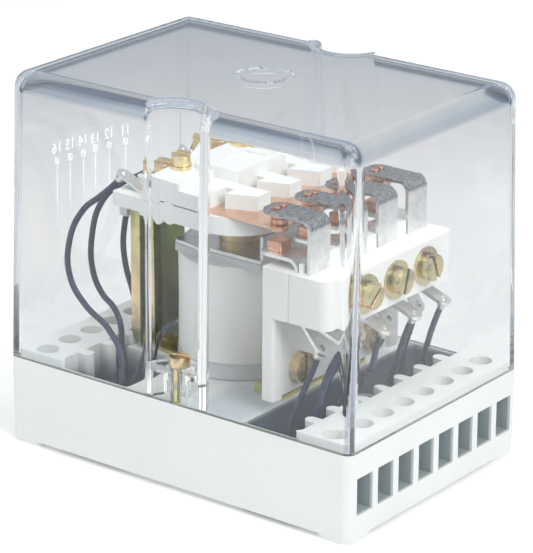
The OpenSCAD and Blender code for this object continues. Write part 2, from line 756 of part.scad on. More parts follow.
module carrier_lower() {
    ext_x = clamp_x0 - 9.7;
    lobe_z = carrier_z0 + 1;
    color([0.9, 0.91, 0.9]) difference() {
        union() {
            wave_up(0);
            translate([0, 0, carrier_z0]) linear_extrude(carrier_low_t) carrier_low_plan();
            block(ext_x, clamp_x0, -carrier_w, carrier_w, carrier_z0 + 0.8, spring_z, 0.8);
            box(seat_x0, seat_x1, -yoke_w / 2, yoke_w / 2, armature_z + armature_t, carrier_z0 + 1);
            both_sides() across(-carrier_w, -yoke_w / 2 - 0.5)
                translate([clamp_x0 + lobe_in, lobe_z]) circle(lobe_r);
        }
        wave_down(seat_gap / 2);
        both_sides() translate([rivet_x, -rivet_y, carrier_z0 - 5]) cylinder(r = rivet_r + fit, h = 10);
        both_sides() translate([rivet_x, -rivet_y, carrier_z0 + 1.5])
            cylinder(r = rivet_r * 1.6 + 0.1, h = 10);
        both_sides() for (x = [carrier_screw_x0, carrier_screw_x1])
            translate([x, -carrier_screw_y, carrier_z0 + 0.6]) cylinder(r = screw_r + fit, h = 10);
    }
}

module tooth_plan(i) {
    y = pole_y(i);
    side = strip_w / 2;
    back = min(y + pole_pitch - side - tooth_gap, carrier_w);
    front = min(y + side + tooth_gap, back - 1);
    polygon([[-1, front], [tooth_neck, front], [tooth_neck, y + 0.3],
        [tooth_reach, min(y + side - 0.6, back - 1.2)], [tooth_reach, back], [-1, back]]);
}

module carrier_upper() {
    step_x = clamp_x0 + carrier_step;
    color([0.94, 0.94, 0.93]) difference() {
        union() {
            block(clamp_x0, step_x, -carrier_w, carrier_w, spring_top, upper_z, 0.6);
            box(step_x - 1, 0.4, -carrier_w, carrier_w, spring_top, upper_z - 1.7);
            block(step_x - 3, 0.4, -pole_pitch * 0.8, pole_pitch * 0.8, upper_z - 2, upper_z + 1.2, 0.6);
            both_sides() block(carrier_screw_x0 - 3.8, clamp_x0 + 1, -carrier_screw_y - 4, -carrier_screw_y + 4,
                spring_top, ear_z - washer_t, 1.5);
            for (i = [0:poles - 1]) translate([0, 0, spring_top]) linear_extrude(tooth_h) tooth_plan(i);
            wave_down(0);
        }
        wave_up(seat_gap / 2);
        both_sides() for (x = [carrier_screw_x0, carrier_screw_x1])
            translate([x, -carrier_screw_y, spring_z]) cylinder(r = screw_r + fit, h = 20);
        translate([0, 0, upper_z + 0.7]) block(step_x - 1.5, -1.4, -5, 5, 0, 2, 0.5);
    }
}

module carrier_washers() {
    color([0.76, 0.72, 0.45]) both_sides() {
        translate([carrier_screw_x0, -carrier_screw_y, ear_z - washer_t]) washer(head_r + 0.4);
        translate([carrier_screw_x1, -carrier_screw_y, upper_z]) washer(head_r + 0.4);
    }
}

module washer(r) {
    difference() {
        cylinder(r = r, h = washer_t);
        translate([0, 0, -1]) cylinder(r = screw_r + 0.15, h = washer_t + 2);
    }
}

module carrier_screws() {
    color([0.78, 0.72, 0.45]) both_sides() {
        translate([carrier_screw_x0, -carrier_screw_y, ear_z])
            cheese_screw(screw_r, head_r, head_h, ear_z - carrier_z0 - 1.2);
        translate([carrier_screw_x1, -carrier_screw_y, upper_z + washer_t])
            cheese_screw(screw_r, head_r, head_h, upper_z + washer_t - carrier_z0 - 1.2);
    }
}

module moving_spring(i) {
    color([0.74, 0.53, 0.42]) translate([0, pole_y(i), 0]) {
        difference() {
            union() {
                box(lug_x0 + 3, tip_x - tip_r, -strip_w / 2, strip_w / 2, spring_z, spring_top);
                box(lug_x0, lug_x0 + 4, -lug_w / 2, lug_w / 2, spring_z, spring_top);
                block(tip_x - 3 * tip_r, tip_x, -strip_w / 2, strip_w / 2, spring_z, spring_top, tip_r);
            }
            translate([contact_x, 0, spring_z - 1]) cylinder(r = 1.2 + fit, h = 3);
        }
        translate([lug_x0, 0, spring_z]) rotate([0, 24, 0]) difference() {
            union() {
                box(-6.6, 0, -lug_w / 2, lug_w / 2, 0, spring_t);
                translate([-6.6, 0, 0]) cylinder(r = lug_w / 2, h = spring_t);
            }
            translate([-6.6, 0, -1]) cylinder(r = 0.8, h = 3);
        }
    }
}

module moving_spring_1() { moving_spring(0); }
module moving_spring_2() { moving_spring(1); }
module moving_spring_3() { moving_spring(2); }
module moving_spring_4() { moving_spring(3); }

module moving_contacts() {
    color([0.8, 0.56, 0.42]) for (i = [0:poles - 1]) translate([contact_x, pole_y(i), 0]) {
        translate([0, 0, contact_low]) cylinder(r = contact_r, h = spring_z - contact_low);
        translate([0, 0, contact_low + 0.5]) cylinder(r = 1.2, h = contact_top - contact_low - 1);
        translate([0, 0, spring_top]) cylinder(r = contact_r, h = contact_top - spring_top);
    }
}

// The strip of a fixed contact inside and below the block, its left face on x = 0
module strip_tail(z1) {
    box(0, bracket_t, -strip_w / 2, strip_w / 2, block_z1 - 3, z1);
    box(0, bracket_t, -tail_w / 2, tail_w / 2, block_z0 - 0.5, block_z1 - 2.5);
}

// A solder lug below the block, sloping down towards +X at the given angle
module strip_lug(angle, length) {
    end = -length + lug_w / 2;
    translate([0, 0, block_z0 - 0.5]) {
        box(0, bracket_t, -lug_w / 2, lug_w / 2, -0.8, 0.5);
        translate([0, 0, -0.8]) rotate([0, angle - 90, 0]) difference() {
            union() {
                box(0, bracket_t, -lug_w / 2, lug_w / 2, end, 0.2);
                translate([0, 0, end]) rotate([0, 90, 0]) cylinder(r = lug_w / 2, h = bracket_t);
            }
            translate([-1, 0, end]) rotate([0, 90, 0]) cylinder(r = 0.8, h = bracket_t + 2);
        }
    }
}

// Arm of a fixed contact: level at z, then bent down to the leg whose left face is at x1
module bent_arm(x0, x1, z, z_low) {
    leg = x1 + bracket_t;
    top = z + bracket_t;
    inner_r = bend_r - bracket_t;
    across(-strip_w / 2, strip_w / 2) {
        translate([x0 + tip_r, z]) square([leg - bend_r - x0 - tip_r + 0.01, bracket_t]);
        translate([x1, z_low]) square([bracket_t, top - bend_r - z_low + 0.01]);
        difference() {
            intersection() {
                translate([leg - bend_r, top - bend_r]) circle(bend_r);
                translate([leg - bend_r, top - bend_r]) square(bend_r + 1);
            }
            translate([leg - bend_r, top - bend_r]) circle(inner_r);
        }
    }
    block(x0, x0 + 3 * tip_r, -strip_w / 2, strip_w / 2, z, top, tip_r);
}

module upper_bracket(i) {
    x = middle_x1 - bracket_t - 0.02;
    color([0.76, 0.77, 0.77]) translate([0, pole_y(i), 0]) difference() {
        union() {
            bent_arm(contact_x - 3.3, x, bracket_up_z, block_z1 - 3);
            translate([x, 0, 0]) strip_tail(block_z1 - 1);
            translate([x, 0, 0]) strip_lug(20, 11.5);
        }
        both_sides() translate([contact_x, -1.25, bracket_up_z - 1]) cylinder(r = 0.7 + fit, h = 4);
    }
}

module upper_bracket_1() { upper_bracket(0); }
module upper_bracket_2() { upper_bracket(1); }
module upper_bracket_3() { upper_bracket(2); }
module upper_bracket_4() { upper_bracket(3); }

module lower_bracket(i) {
    x = inner_x1 + 0.02;
    color([0.76, 0.77, 0.77]) translate([0, pole_y(i), 0]) difference() {
        union() {
            bent_arm(contact_x - 3.7, x, bracket_low_z, block_z1 - 3);
            translate([x, 0, 0]) strip_tail(block_z1 - 1);
            translate([x, 0, 0]) strip_lug(52, 9.8);
        }
        translate([contact_x, 0, bracket_low_z - 1]) cylinder(r = 1.2 + fit, h = 4);
    }
}

module lower_bracket_1() { lower_bracket(0); }
module lower_bracket_2() { lower_bracket(1); }
module lower_bracket_3() { lower_bracket(2); }
module lower_bracket_4() { lower_bracket(3); }

module upper_contacts() {
    color([0.8, 0.56, 0.42]) for (i = [0:poles - 1]) translate([contact_x, pole_y(i), 0]) {
        translate([0, 0, upper_contact_z]) cylinder(r = contact_r, h = upper_contact_t);
        for (s = [-1, 1]) translate([0, s * 1.25, 0]) {
            translate([0, 0, bracket_up_z - 0.2]) cylinder(r = 0.7, h = bracket_t + 0.4);
            translate([0, 0, bracket_up_z + bracket_t]) cylinder(r = 1.1, h = 0.5);
        }
    }
}

module lower_contacts() {
    color([0.8, 0.56, 0.42]) for (i = [0:poles - 1]) translate([contact_x, pole_y(i), 0]) {
        block(-contact_r - 0.1, contact_r + 0.1, -contact_r - 0.3, contact_r + 0.3,
            bracket_low_z + bracket_t, lower_contact_z, 0.8);
        translate([0, 0, bracket_low_z - 0.3]) cylinder(r = 1.2, h = bracket_t + 0.6);
        translate([0, 0, bracket_low_z - 0.7]) cylinder(r = 1.9, h = 0.7);
    }
}

// Bores for the screws that clamp the block's layers, running along X
module block_bores(x0, x1, r) {
    for (i = [0:poles - 2]) translate([x0, between_y(i), block_screw_z]) rotate([0, 90, 0])
        cylinder(r = r, h = x1 - x0);
}

// Space for a strip that lies in one face of the middle layer
module strip_pocket(x0, x1) {
    for (i = [0:poles - 1]) {
        y = pole_y(i);
        box(x0, x1, y - strip_w / 2 - seat_gap, y + strip_w / 2 + seat_gap,
            block_z1 - 3 - seat_gap, block_z1 + 1);
        box(x0, x1, y - tail_w / 2 - seat_gap, y + tail_w / 2 + seat_gap, block_z0 - 1, block_z1 - 2);
    }
}

module block_inner() {
    rib_y = block_w - 4;
    color([0.93, 0.93, 0.91]) difference() {
        union() {
            block(block_x0, inner_x1, -block_w, block_w, block_z0, block_z1, 0.8);
            box(block_x0, block_x0 + web_t, -rib_y - 1, rib_y + 1, web_z0, block_z0 + 1);
            both_sides() block(block_x0, block_x0 + web_rib_t, -block_w, -rib_y, web_z0, block_z0 + 1, 0.8);
            box(block_x0 + web_t - 0.5, block_x0 + web_rib_t, -rib_y, rib_y, block_z0 - 1.2, block_z0 + 1);
        }
        block_bores(block_x0 + 1.2, inner_x1 + 1, screw_r + fit);
        both_sides() translate([block_x0 - 1, support_pitch / 2, platform_z + support_z]) rotate([0, 90, 0])
            cylinder(r = screw_r + 0.15, h = web_t + 2);
    }
}

module block_middle() {
    color([0.94, 0.94, 0.92]) difference() {
        union() {
            box(inner_x1, middle_x1, -block_w, block_w, block_z0, block_z1);
            for (i = [0:poles - 1]) {
                y = pole_y(i) + strip_w / 2 + 0.3;
                pillar = inner_x1 + bracket_t + 0.3;
                box(pillar, pillar + 1.3, pole_y(i) - strip_w / 2, pole_y(i) + strip_w / 2,
                    block_z1 - 1, block_z1 + 2.2);
                if (i < poles - 1) box(inner_x1 + 0.4, middle_x1 - 0.3, y, y + pole_pitch - strip_w - 0.6,
                    block_z1 - 1, block_z1 + tower_h);
            }
        }
        strip_pocket(inner_x1 - 1, inner_x1 + bracket_t + 0.1);
        strip_pocket(middle_x1 - bracket_t - 0.1, middle_x1 + 1);
        block_bores(inner_x1 - 1, middle_x1 + 1, screw_r + 0.2);
    }
}

module block_outer() {
    color([0.95, 0.95, 0.93]) difference() {
        union() {
            block(outer_x1 - 3 * block_edge_r, outer_x1, -block_w, block_w, block_z0, block_z1, block_edge_r);
            box(middle_x1, outer_x1 - block_edge_r, -block_w, block_w, block_z0, block_z1);
        }
        box(0, middle_x1, -half_w, half_w, 0, top_z);
        block_bores(middle_x1 - 1, outer_x1 + 1, screw_r + 0.2);
    }
}

module block_washers() {
    color([0.76, 0.7, 0.42]) for (i = [0:poles - 2])
        translate([outer_x1, between_y(i), block_screw_z]) rotate([0, 90, 0]) difference() {
            cylinder(r = washer_r, h = washer_t);
            translate([0, 0, -1]) cylinder(r = screw_r + 0.15, h = washer_t + 2);
        }
}

module block_screws() {
    length = outer_x1 + washer_t - block_x0 - 2;
    color([0.78, 0.72, 0.42]) for (i = [0:poles - 2])
        translate([outer_x1 + washer_t, between_y(i), block_screw_z]) rotate([0, 90, 0])
            rotate([0, 0, -50 + 35 * i]) cheese_screw(screw_r, head_r, head_h, length);
}

module support_bracket() {
    x0 = support_x1 - support_t;
    top = platform_z + support_z + 5;
    color([0.78, 0.66, 0.38]) difference() {
        across(-support_w, support_w) {
            translate([x0, platform_z]) square([support_t, top - platform_z]);
            translate([support_x0, platform_z]) square([support_x1 - support_x0, support_t]);
            difference() {
                translate([x0 - 1, platform_z + support_t - 0.1]) square([1.1, 1.1]);
                translate([x0 - 1, platform_z + support_t + 1]) circle(1);
            }
        }
        both_sides() translate([x0 - 1, support_pitch / 2, platform_z + support_z]) rotate([0, 90, 0])
            cylinder(r = screw_r + fit, h = support_t + 2);
        both_sides() translate([foot_screw_x, -foot_screw_y, platform_z - 1])
            cylinder(r = screw_r + 0.15, h = support_t + 2);
    }
}

module support_screws() {
    color([0.72, 0.64, 0.4]) {
        both_sides() translate([block_x0 + web_t, support_pitch / 2, platform_z + support_z]) rotate([0, 90, 0])
            cheese_screw(screw_r, support_head_r, head_h, web_t + seat_gap + support_t);
        both_sides() translate([foot_screw_x, -foot_screw_y, platform_z + support_t])
            cheese_screw(screw_r, small_head_r, small_head_h, support_t + 7);
    }
}

module wire(route, side) {
    color([0.1, 0.11, 0.15]) tube(laid(route, side), wire_r, wire_sides);
}

module wire_right_1() { wire(right_routes[0], 1); }
module wire_right_2() { wire(right_routes[1], 1); }
module wire_right_3() { wire(right_routes[2], 1); }
module wire_right_4() { wire(right_routes[3], 1); }
module wire_right_5() { wire(right_routes[4], 1); }
module wire_right_6() { wire(right_routes[5], 1); }
module wire_right_7() { wire(right_routes[6], 1); }
module wire_left_1() { wire(left_routes[0], -1); }
module wire_left_2() { wire(left_routes[1], -1); }
module wire_left_3() { wire(left_routes[2], -1); }
module wire_left_4() { wire(left_routes[3], -1); }
module coil_lead_1() { wire(lead_routes[0], -1); }
module coil_lead_2() { wire(lead_routes[1], -1); }

base_moulding();
cover();
cover_screws();
terminal_clamps_left();
terminal_clamps_right();
terminal_screws_left();
terminal_screws_right();
yoke();
core();
core_screw();
coil_bobbin();
coil_winding();
coil_plate();
return_spring();
armature();
armature_rivets();
carrier_lower();
carrier_upper();
carrier_washers();
carrier_screws();
moving_spring_1();
moving_spring_2();
moving_spring_3();
moving_spring_4();
moving_contacts();
upper_bracket_1();
upper_bracket_2();
upper_bracket_3();
upper_bracket_4();
upper_contacts();
lower_bracket_1();
lower_bracket_2();
lower_bracket_3();
lower_bracket_4();
lower_contacts();
block_inner();
block_middle();
block_outer();
block_washers();
block_screws();
support_bracket();
support_screws();
wire_right_1();
wire_right_2();
wire_right_3();
wire_right_4();
wire_right_5();
wire_right_6();
wire_right_7();
wire_left_1();
wire_left_2();
wire_left_3();
wire_left_4();
coil_lead_1();
coil_lead_2();
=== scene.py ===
import json
import math

import bmesh
import bpy
from mathutils import Matrix, Vector

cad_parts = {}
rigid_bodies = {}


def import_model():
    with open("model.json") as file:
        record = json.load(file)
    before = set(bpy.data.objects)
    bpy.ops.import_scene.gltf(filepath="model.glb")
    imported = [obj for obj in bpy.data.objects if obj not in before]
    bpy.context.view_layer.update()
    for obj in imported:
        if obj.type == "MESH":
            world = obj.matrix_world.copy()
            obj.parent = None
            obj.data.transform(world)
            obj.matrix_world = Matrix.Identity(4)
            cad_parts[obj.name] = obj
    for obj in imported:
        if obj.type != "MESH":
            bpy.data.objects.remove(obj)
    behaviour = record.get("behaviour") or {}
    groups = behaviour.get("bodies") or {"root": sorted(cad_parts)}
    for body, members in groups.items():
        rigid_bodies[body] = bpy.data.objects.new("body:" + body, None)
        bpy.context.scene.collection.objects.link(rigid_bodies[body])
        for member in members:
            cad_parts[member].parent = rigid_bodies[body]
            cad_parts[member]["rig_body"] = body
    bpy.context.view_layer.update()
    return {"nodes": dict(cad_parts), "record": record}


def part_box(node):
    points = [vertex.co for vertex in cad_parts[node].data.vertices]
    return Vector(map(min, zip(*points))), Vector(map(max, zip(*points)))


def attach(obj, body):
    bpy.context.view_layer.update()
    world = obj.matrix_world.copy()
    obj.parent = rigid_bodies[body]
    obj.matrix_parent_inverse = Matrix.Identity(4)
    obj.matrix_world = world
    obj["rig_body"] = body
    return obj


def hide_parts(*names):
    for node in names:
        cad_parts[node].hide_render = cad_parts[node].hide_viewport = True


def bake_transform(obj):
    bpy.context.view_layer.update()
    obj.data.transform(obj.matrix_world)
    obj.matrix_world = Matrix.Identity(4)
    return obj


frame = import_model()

mm = 0.001  # sizes below are in millimetres, meshes in metres
nodes = frame["nodes"]
slotOf = {part["node"]: part["material_slot"] for part in frame["record"]["subparts"]}
bodyOf = {name: obj["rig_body"] for name, obj in nodes.items()}
scene = bpy.context.scene


def boxOf(node):
    low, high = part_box(node)
    return low / mm, high / mm


def addObject(name, data):
    obj = bpy.data.objects.new(name, data)
    scene.collection.objects.link(obj)
    return obj


# Camera at the photo's angle, fitted to the base's straight edges
cameraLook = {
    "place": (422.1, -555.2, 301.4),
    "turn": 37.171,   # degrees round the object, from the long face towards the block end
    "tilt": 20.157,   # degrees above the floor
    "roll": 0.293,
    "film": 36.0,
    "lens": 194.45,
    "nearest": 50,    # nothing closer to the camera shows
}


def makeCamera(look):
    turn, tilt, roll = (math.radians(look[key]) for key in ("turn", "tilt", "roll"))
    back = Vector((math.sin(turn) * math.cos(tilt), -math.cos(turn) * math.cos(tilt), math.sin(tilt)))
    side = Vector((math.cos(turn), math.sin(turn), 0))
    up = back.cross(side)
    right = side * math.cos(roll) + up * math.sin(roll)
    above = up * math.cos(roll) - side * math.sin(roll)
    data = bpy.data.cameras.new("photoCamera")
    data.sensor_fit = "AUTO"
    data.sensor_width = look["film"]
    data.lens = look["lens"]
    data.clip_start = look["nearest"] * mm
    camera = addObject("photoCamera", data)
    pose = Matrix((right, above, back)).transposed().to_4x4()
    pose.translation = Vector(look["place"]) * mm
    camera.matrix_world = pose
    scene.camera = camera


makeCamera(cameraLook)
print("camera set")


# Shader helpers, shared by the studio and every finish
def objectAxis(tree, axis):
    coords = tree.nodes.new("ShaderNodeTexCoord")
    parts = tree.nodes.new("ShaderNodeSeparateXYZ")
    tree.links.new(coords.outputs["Object"], parts.inputs["Vector"])
    return parts.outputs[axis]


def noise(tree, size, detail, stretch=(1, 1, 1), warp=0.0):
    coords = tree.nodes.new("ShaderNodeTexCoord")
    mapping = tree.nodes.new("ShaderNodeMapping")
    mapping.inputs["Scale"].default_value = stretch
    tree.links.new(coords.outputs["Object"], mapping.inputs["Vector"])
    texture = tree.nodes.new("ShaderNodeTexNoise")
    texture.inputs["Scale"].default_value = 1 / (size * mm)
    texture.inputs["Detail"].default_value = detail
    texture.inputs["Distortion"].default_value = warp
    tree.links.new(mapping.outputs["Vector"], texture.inputs["Vector"])
    return texture.outputs["Fac"]


def ramped(tree, source, stops):
    ramp = tree.nodes.new("ShaderNodeValToRGB")
    elements = ramp.color_ramp.elements
    while len(elements) < len(stops):
        elements.new(0.5)
    for element, (position, colour) in zip(elements, stops):
        element.position = position
        element.color = (*colour, 1)
    tree.links.new(source, ramp.inputs["Fac"])
    return ramp.outputs["Color"]


noiseSpan = (0.3, 0.7)  # nearly all of a noise's values lie in this range


def ranged(tree, source, low, high, span=noiseSpan):
    remap = tree.nodes.new("ShaderNodeMapRange")
    remap.inputs["From Min"].default_value, remap.inputs["From Max"].default_value = span
    remap.inputs["To Min"].default_value = low
    remap.inputs["To Max"].default_value = high
    tree.links.new(source, remap.inputs["Value"])
    return remap.outputs["Result"]


def bumped(tree, height, strength, depth, under=None):
    bump = tree.nodes.new("ShaderNodeBump")
    bump.inputs["Strength"].default_value = strength
    bump.inputs["Distance"].default_value = depth * mm
    tree.links.new(height, bump.inputs["Height"])
    if under is not None:
        tree.links.new(under, bump.inputs["Normal"])
    return bump.outputs["Normal"]


def combined(tree, first, second, operation="MULTIPLY"):
    sums = tree.nodes.new("ShaderNodeMath")
    sums.operation = operation
    tree.links.new(first, sums.inputs[0])
    if isinstance(second, (int, float)):
        sums.inputs[1].default_value = second
    else:
        tree.links.new(second, sums.inputs[1])
    return sums.outputs["Value"]


def mixed(tree, share, first, second, mode="MIX"):
    mix = tree.nodes.new("ShaderNodeMix")
    mix.data_type = "RGBA"
    mix.blend_type = mode
    tree.links.new(share, mix.inputs[0])
    tree.links.new(first, mix.inputs[6])
    if isinstance(second, tuple):
        mix.inputs[7].default_value = (*second, 1)
    else:
        tree.links.new(second, mix.inputs[7])
    return mix.outputs[2]


# 1 inside a band of the object along one axis and 0 outside it, or the other way round, with soft ends
def band(tree, axis, low, high, soft, inside=True):
    offset = combined(tree, objectAxis(tree, axis), (low + high) / 2 * mm, "SUBTRACT")
    remap = tree.nodes.new("ShaderNodeMapRange")
    remap.interpolation_type = "SMOOTHSTEP"
    half = (high - low) / 2 * mm
    fade = soft / 2 * mm if inside else -soft / 2 * mm
    remap.inputs["From Min"].default_value = half + fade
    remap.inputs["From Max"].default_value = half - fade
    tree.links.new(combined(tree, offset, 0, "ABSOLUTE"), remap.inputs["Value"])
    return remap.outputs["Result"]


def zone(tree, bands):
    mask = None
    for axis, low, high, soft in bands:
        strip = band(tree, axis, low, high, soft)
        mask = strip if mask is None else combined(tree, mask, strip)
    return mask


# Soft studio: a graded sky, four soft boxes and a pale floor
studioLook = {
    "sky": ((0.05, (0.4, 0.44, 0.5)), (0.45, (0.78, 0.8, 0.84)), (0.95, (1, 1, 1))),  # height, colour
    "skyPower": 0.62,
    "mirroredSky": ((0.0, (0.14, 0.19, 0.27)), (0.13, (0.42, 0.48, 0.56)), (0.32, (0.76, 0.79, 0.84)),
                    (0.75, (1, 1, 1))),
    "backdrop": ((0.0, (1, 1, 1)), (0.05, (0.84, 0.85, 0.84)), (0.27, (0.77, 0.785, 0.785)),
                 (0.41, (0.66, 0.668, 0.675)), (0.55, (0.545, 0.562, 0.58)), (0.8, (0.33, 0.39, 0.45)),
                 (1.0, (0.11, 0.15, 0.21))),
    "backdropSpan": (60, 620),  # distances over which the floor darkens in mirrors and through the cover
    "floorSize": 3600,
    "floorCells": 8,
    "floorTones": ((0.35, (0.935, 0.935, 0.938)), (0.65, (0.95, 0.95, 0.95))),
    "floorCloud": 260,
    "floorGlow": 0.13,
    "floorRough": 0.6,
    "floorShine": 0.2,
    "aim": (0, 0, 45),
    "lights": {
        "keyLight": {"at": (820, -260, 720), "size": (520, 620), "power": 5.5, "colour": (1, 0.985, 0.965)},
        "fillLight": {"at": (-520, -760, 420), "size": (700, 700), "power": 1.65, "colour": (1, 1, 0.98)},
        "topLight": {"at": (-60, 140, 900), "size": (800, 620), "power": 2.1, "colour": (1, 1, 1)},
        "backLight": {"at": (-260, 820, 330), "size": (520, 360), "power": 0.9, "colour": (0.96, 0.98, 1),
                      "mirrored": False},
    },
}


# 1 for rays that come through the cover or off a shiny face
def mirroredRay(tree):
    rays = tree.nodes.new("ShaderNodeLightPath")
    return combined(tree, rays.outputs["Is Transmission Ray"], rays.outputs["Is Glossy Ray"], "MAXIMUM")


def makeSky(look):
    world = bpy.data.worlds.new("studioSky")
    world.use_nodes = True
    tree = world.node_tree
    tree.nodes.clear()
    coords = tree.nodes.new("ShaderNodeTexCoord")
    parts = tree.nodes.new("ShaderNodeSeparateXYZ")
    tree.links.new(coords.outputs["Generated"], parts.inputs["Vector"])
    plain, dark = (ramped(tree, parts.outputs["Z"], look[key]) for key in ("sky", "mirroredSky"))
    background = tree.nodes.new("ShaderNodeBackground")
    background.inputs["Strength"].default_value = look["skyPower"]
    tree.links.new(mixed(tree, mirroredRay(tree), plain, dark), background.inputs["Color"])
    output = tree.nodes.new("ShaderNodeOutputWorld")
    tree.links.new(background.outputs["Background"], output.inputs["Surface"])
    scene.world = world


def makeLight(name, look, aim):
    data = bpy.data.lights.new(name, "AREA")
    data.shape = "RECTANGLE"
    data.size, data.size_y = (length * mm for length in look["size"])
    data.energy = look["power"]
    data.color = look["colour"]
    lamp = addObject(name, data)
    lamp.visible_glossy = look.get("mirrored", True)
    lamp.visible_transmission = look.get("mirrored", True)
    spot = Vector(look["at"]) * mm
    facing = (Vector(aim) * mm - spot).to_track_quat("-Z", "Y").to_matrix().to_4x4()
    lamp.matrix_world = Matrix.Translation(spot) @ facing


def newFinish(name):
    finish = bpy.data.materials.new(name)
    finish.use_nodes = True
    return finish, finish.node_tree, finish.node_tree.nodes["Principled BSDF"]


mouldingLook = {
    "cloudSpan": (0.34, 0.66),
    "waveShare": 0.4,     # size of the waves against the clouds
    "waveStrength": 0.25,
    "shine": 0.45,
    "glowDepth": 1.2,
}
grainDepth = 0.02  # of fine grain and rolling lines


def mouldedPlastic(name, look):
    finish, tree, shader = newFinish(name)
    clouds = noise(tree, look["cloud"], detail=4)
    grain = noise(tree, look["grain"], detail=2)
    waves = noise(tree, look["cloud"] * mouldingLook["waveShare"], detail=1)
    colour = ramped(tree, clouds, tuple(zip(mouldingLook["cloudSpan"], (look["dark"], look["light"]))))
    # multiplied zones: on the base these are painted shade and painted shadow
    for tint, bands in look.get("zones", ()):
        colour = mixed(tree, zone(tree, bands), colour, tint, "MULTIPLY")
    tree.links.new(colour, shader.inputs["Base Color"])
    tree.links.new(ranged(tree, waves, *look["rough"]), shader.inputs["Roughness"])
    soft = bumped(tree, waves, mouldingLook["waveStrength"], look["wave"])
    tree.links.new(bumped(tree, grain, look["bite"], grainDepth, soft), shader.inputs["Normal"])
    shader.inputs["Specular IOR Level"].default_value = mouldingLook["shine"]
    shader.inputs["Subsurface Weight"].default_value = look["glow"]
    shader.inputs["Subsurface Scale"].default_value = mouldingLook["glowDepth"] * mm
    return finish


def platedMetal(name, look):
    finish, tree, shader = newFinish(name)
    clouds = noise(tree, look["cloud"], detail=4, warp=0.6)
    lines = noise(tree, look["line"], detail=3, stretch=look["stretch"])
    grain = noise(tree, look["grain"], detail=2)
    if "rainbow" in look:  # bands that repeat up the piece, as on yellow plating
        rise = combined(tree, objectAxis(tree, "Z"), look["rainbow"] / mm)
        rise = combined(tree, rise, look["phase"], "ADD")
        clouds = combined(tree, combined(tree, clouds, rise, "ADD"), 1, "FRACT")
    colour = ramped(tree, clouds, look["colours"])
    for tint, bands in look.get("zones", ()):
        colour = mixed(tree, zone(tree, bands), colour, tint)
    # multiplied tints; on the yellow plating they include painted shadow on the yoke's face
    for tint, bands in look.get("shades", ()):
        colour = mixed(tree, zone(tree, bands), colour, tint, "MULTIPLY")
    if "speckles" in look:
        tint, size, strength, bands = look["speckles"]
        spots = ranged(tree, noise(tree, size, detail=2), 0, strength)
        colour = mixed(tree, combined(tree, zone(tree, bands), spots), colour, tint)
    tree.links.new(colour, shader.inputs["Base Color"])
    tree.links.new(ranged(tree, grain, *look["rough"]), shader.inputs["Roughness"])
    rolled = bumped(tree, lines, look["lineBite"], grainDepth)
    tree.links.new(bumped(tree, grain, look["grainBite"], grainDepth, rolled), shader.inputs["Normal"])
    shader.inputs["Metallic"].default_value = look.get("metal", 1.0)
    return finish


def clearPlastic(name, look):
    finish, tree, shader = newFinish(name)
    haze = noise(tree, look["haze"], detail=3, warp=0.4)
    ripple = noise(tree, look["ripple"], detail=1)
    colour = ramped(tree, haze, tuple(zip(noiseSpan, look["tints"])))
    top = band(tree, "Z", *look["topSpan"], look["topSoft"])
    ends, sides = (band(tree, axis, -reach, reach, look["edgeSoft"], False) for axis, reach in look["edges"])
    # painted shade: the cover's top, its rims and its corners are tinted darker
    colour = mixed(tree, top, colour, look["topPaintedShade"], "MULTIPLY")
    rim = combined(tree, top, combined(tree, ends, sides, "MAXIMUM"))
    colour = mixed(tree, rim, colour, look["rimPaintedShade"], "MULTIPLY")
    colour = mixed(tree, combined(tree, ends, sides), colour, look["cornerPaintedShade"], "MULTIPLY")
    tree.links.new(colour, shader.inputs["Base Color"])
    tree.links.new(ranged(tree, haze, *look["rough"]), shader.inputs["Roughness"])
    tree.links.new(bumped(tree, ripple, look["rippleBite"], look["rippleDepth"]), shader.inputs["Normal"])
    shader.inputs["IOR"].default_value = look["ior"]
    shader.inputs["Transmission Weight"].default_value = 1.0
    through = tree.nodes.new("ShaderNodeBsdfTransparent")
    through.inputs["Color"].default_value = (*look["shade"], 1)
    rays = tree.nodes.new("ShaderNodeLightPath")
    blend = tree.nodes.new("ShaderNodeMixShader")
    tree.links.new(rays.outputs["Is Shadow Ray"], blend.inputs["Fac"])
    tree.links.new(shader.outputs["BSDF"], blend.inputs[1])
    tree.links.new(through.outputs["BSDF"], blend.inputs[2])
    glow = tree.nodes.new("ShaderNodeEmission")  # painted light: a pale glow ends rays that stay caught in the wall, in place of black
    glow.inputs["Color"].default_value = (*look["caught"], 1)
    caught = combined(tree, rays.outputs["Ray Depth"], look["caughtAfter"], "GREATER_THAN")
    ended = tree.nodes.new("ShaderNodeMixShader")
    tree.links.new(caught, ended.inputs["Fac"])
    tree.links.new(blend.outputs["Shader"], ended.inputs[1])
    tree.links.new(glow.outputs["Emission"], ended.inputs[2])
    tree.links.new(ended.outputs["Shader"], tree.nodes["Material Output"].inputs["Surface"])
    return finish


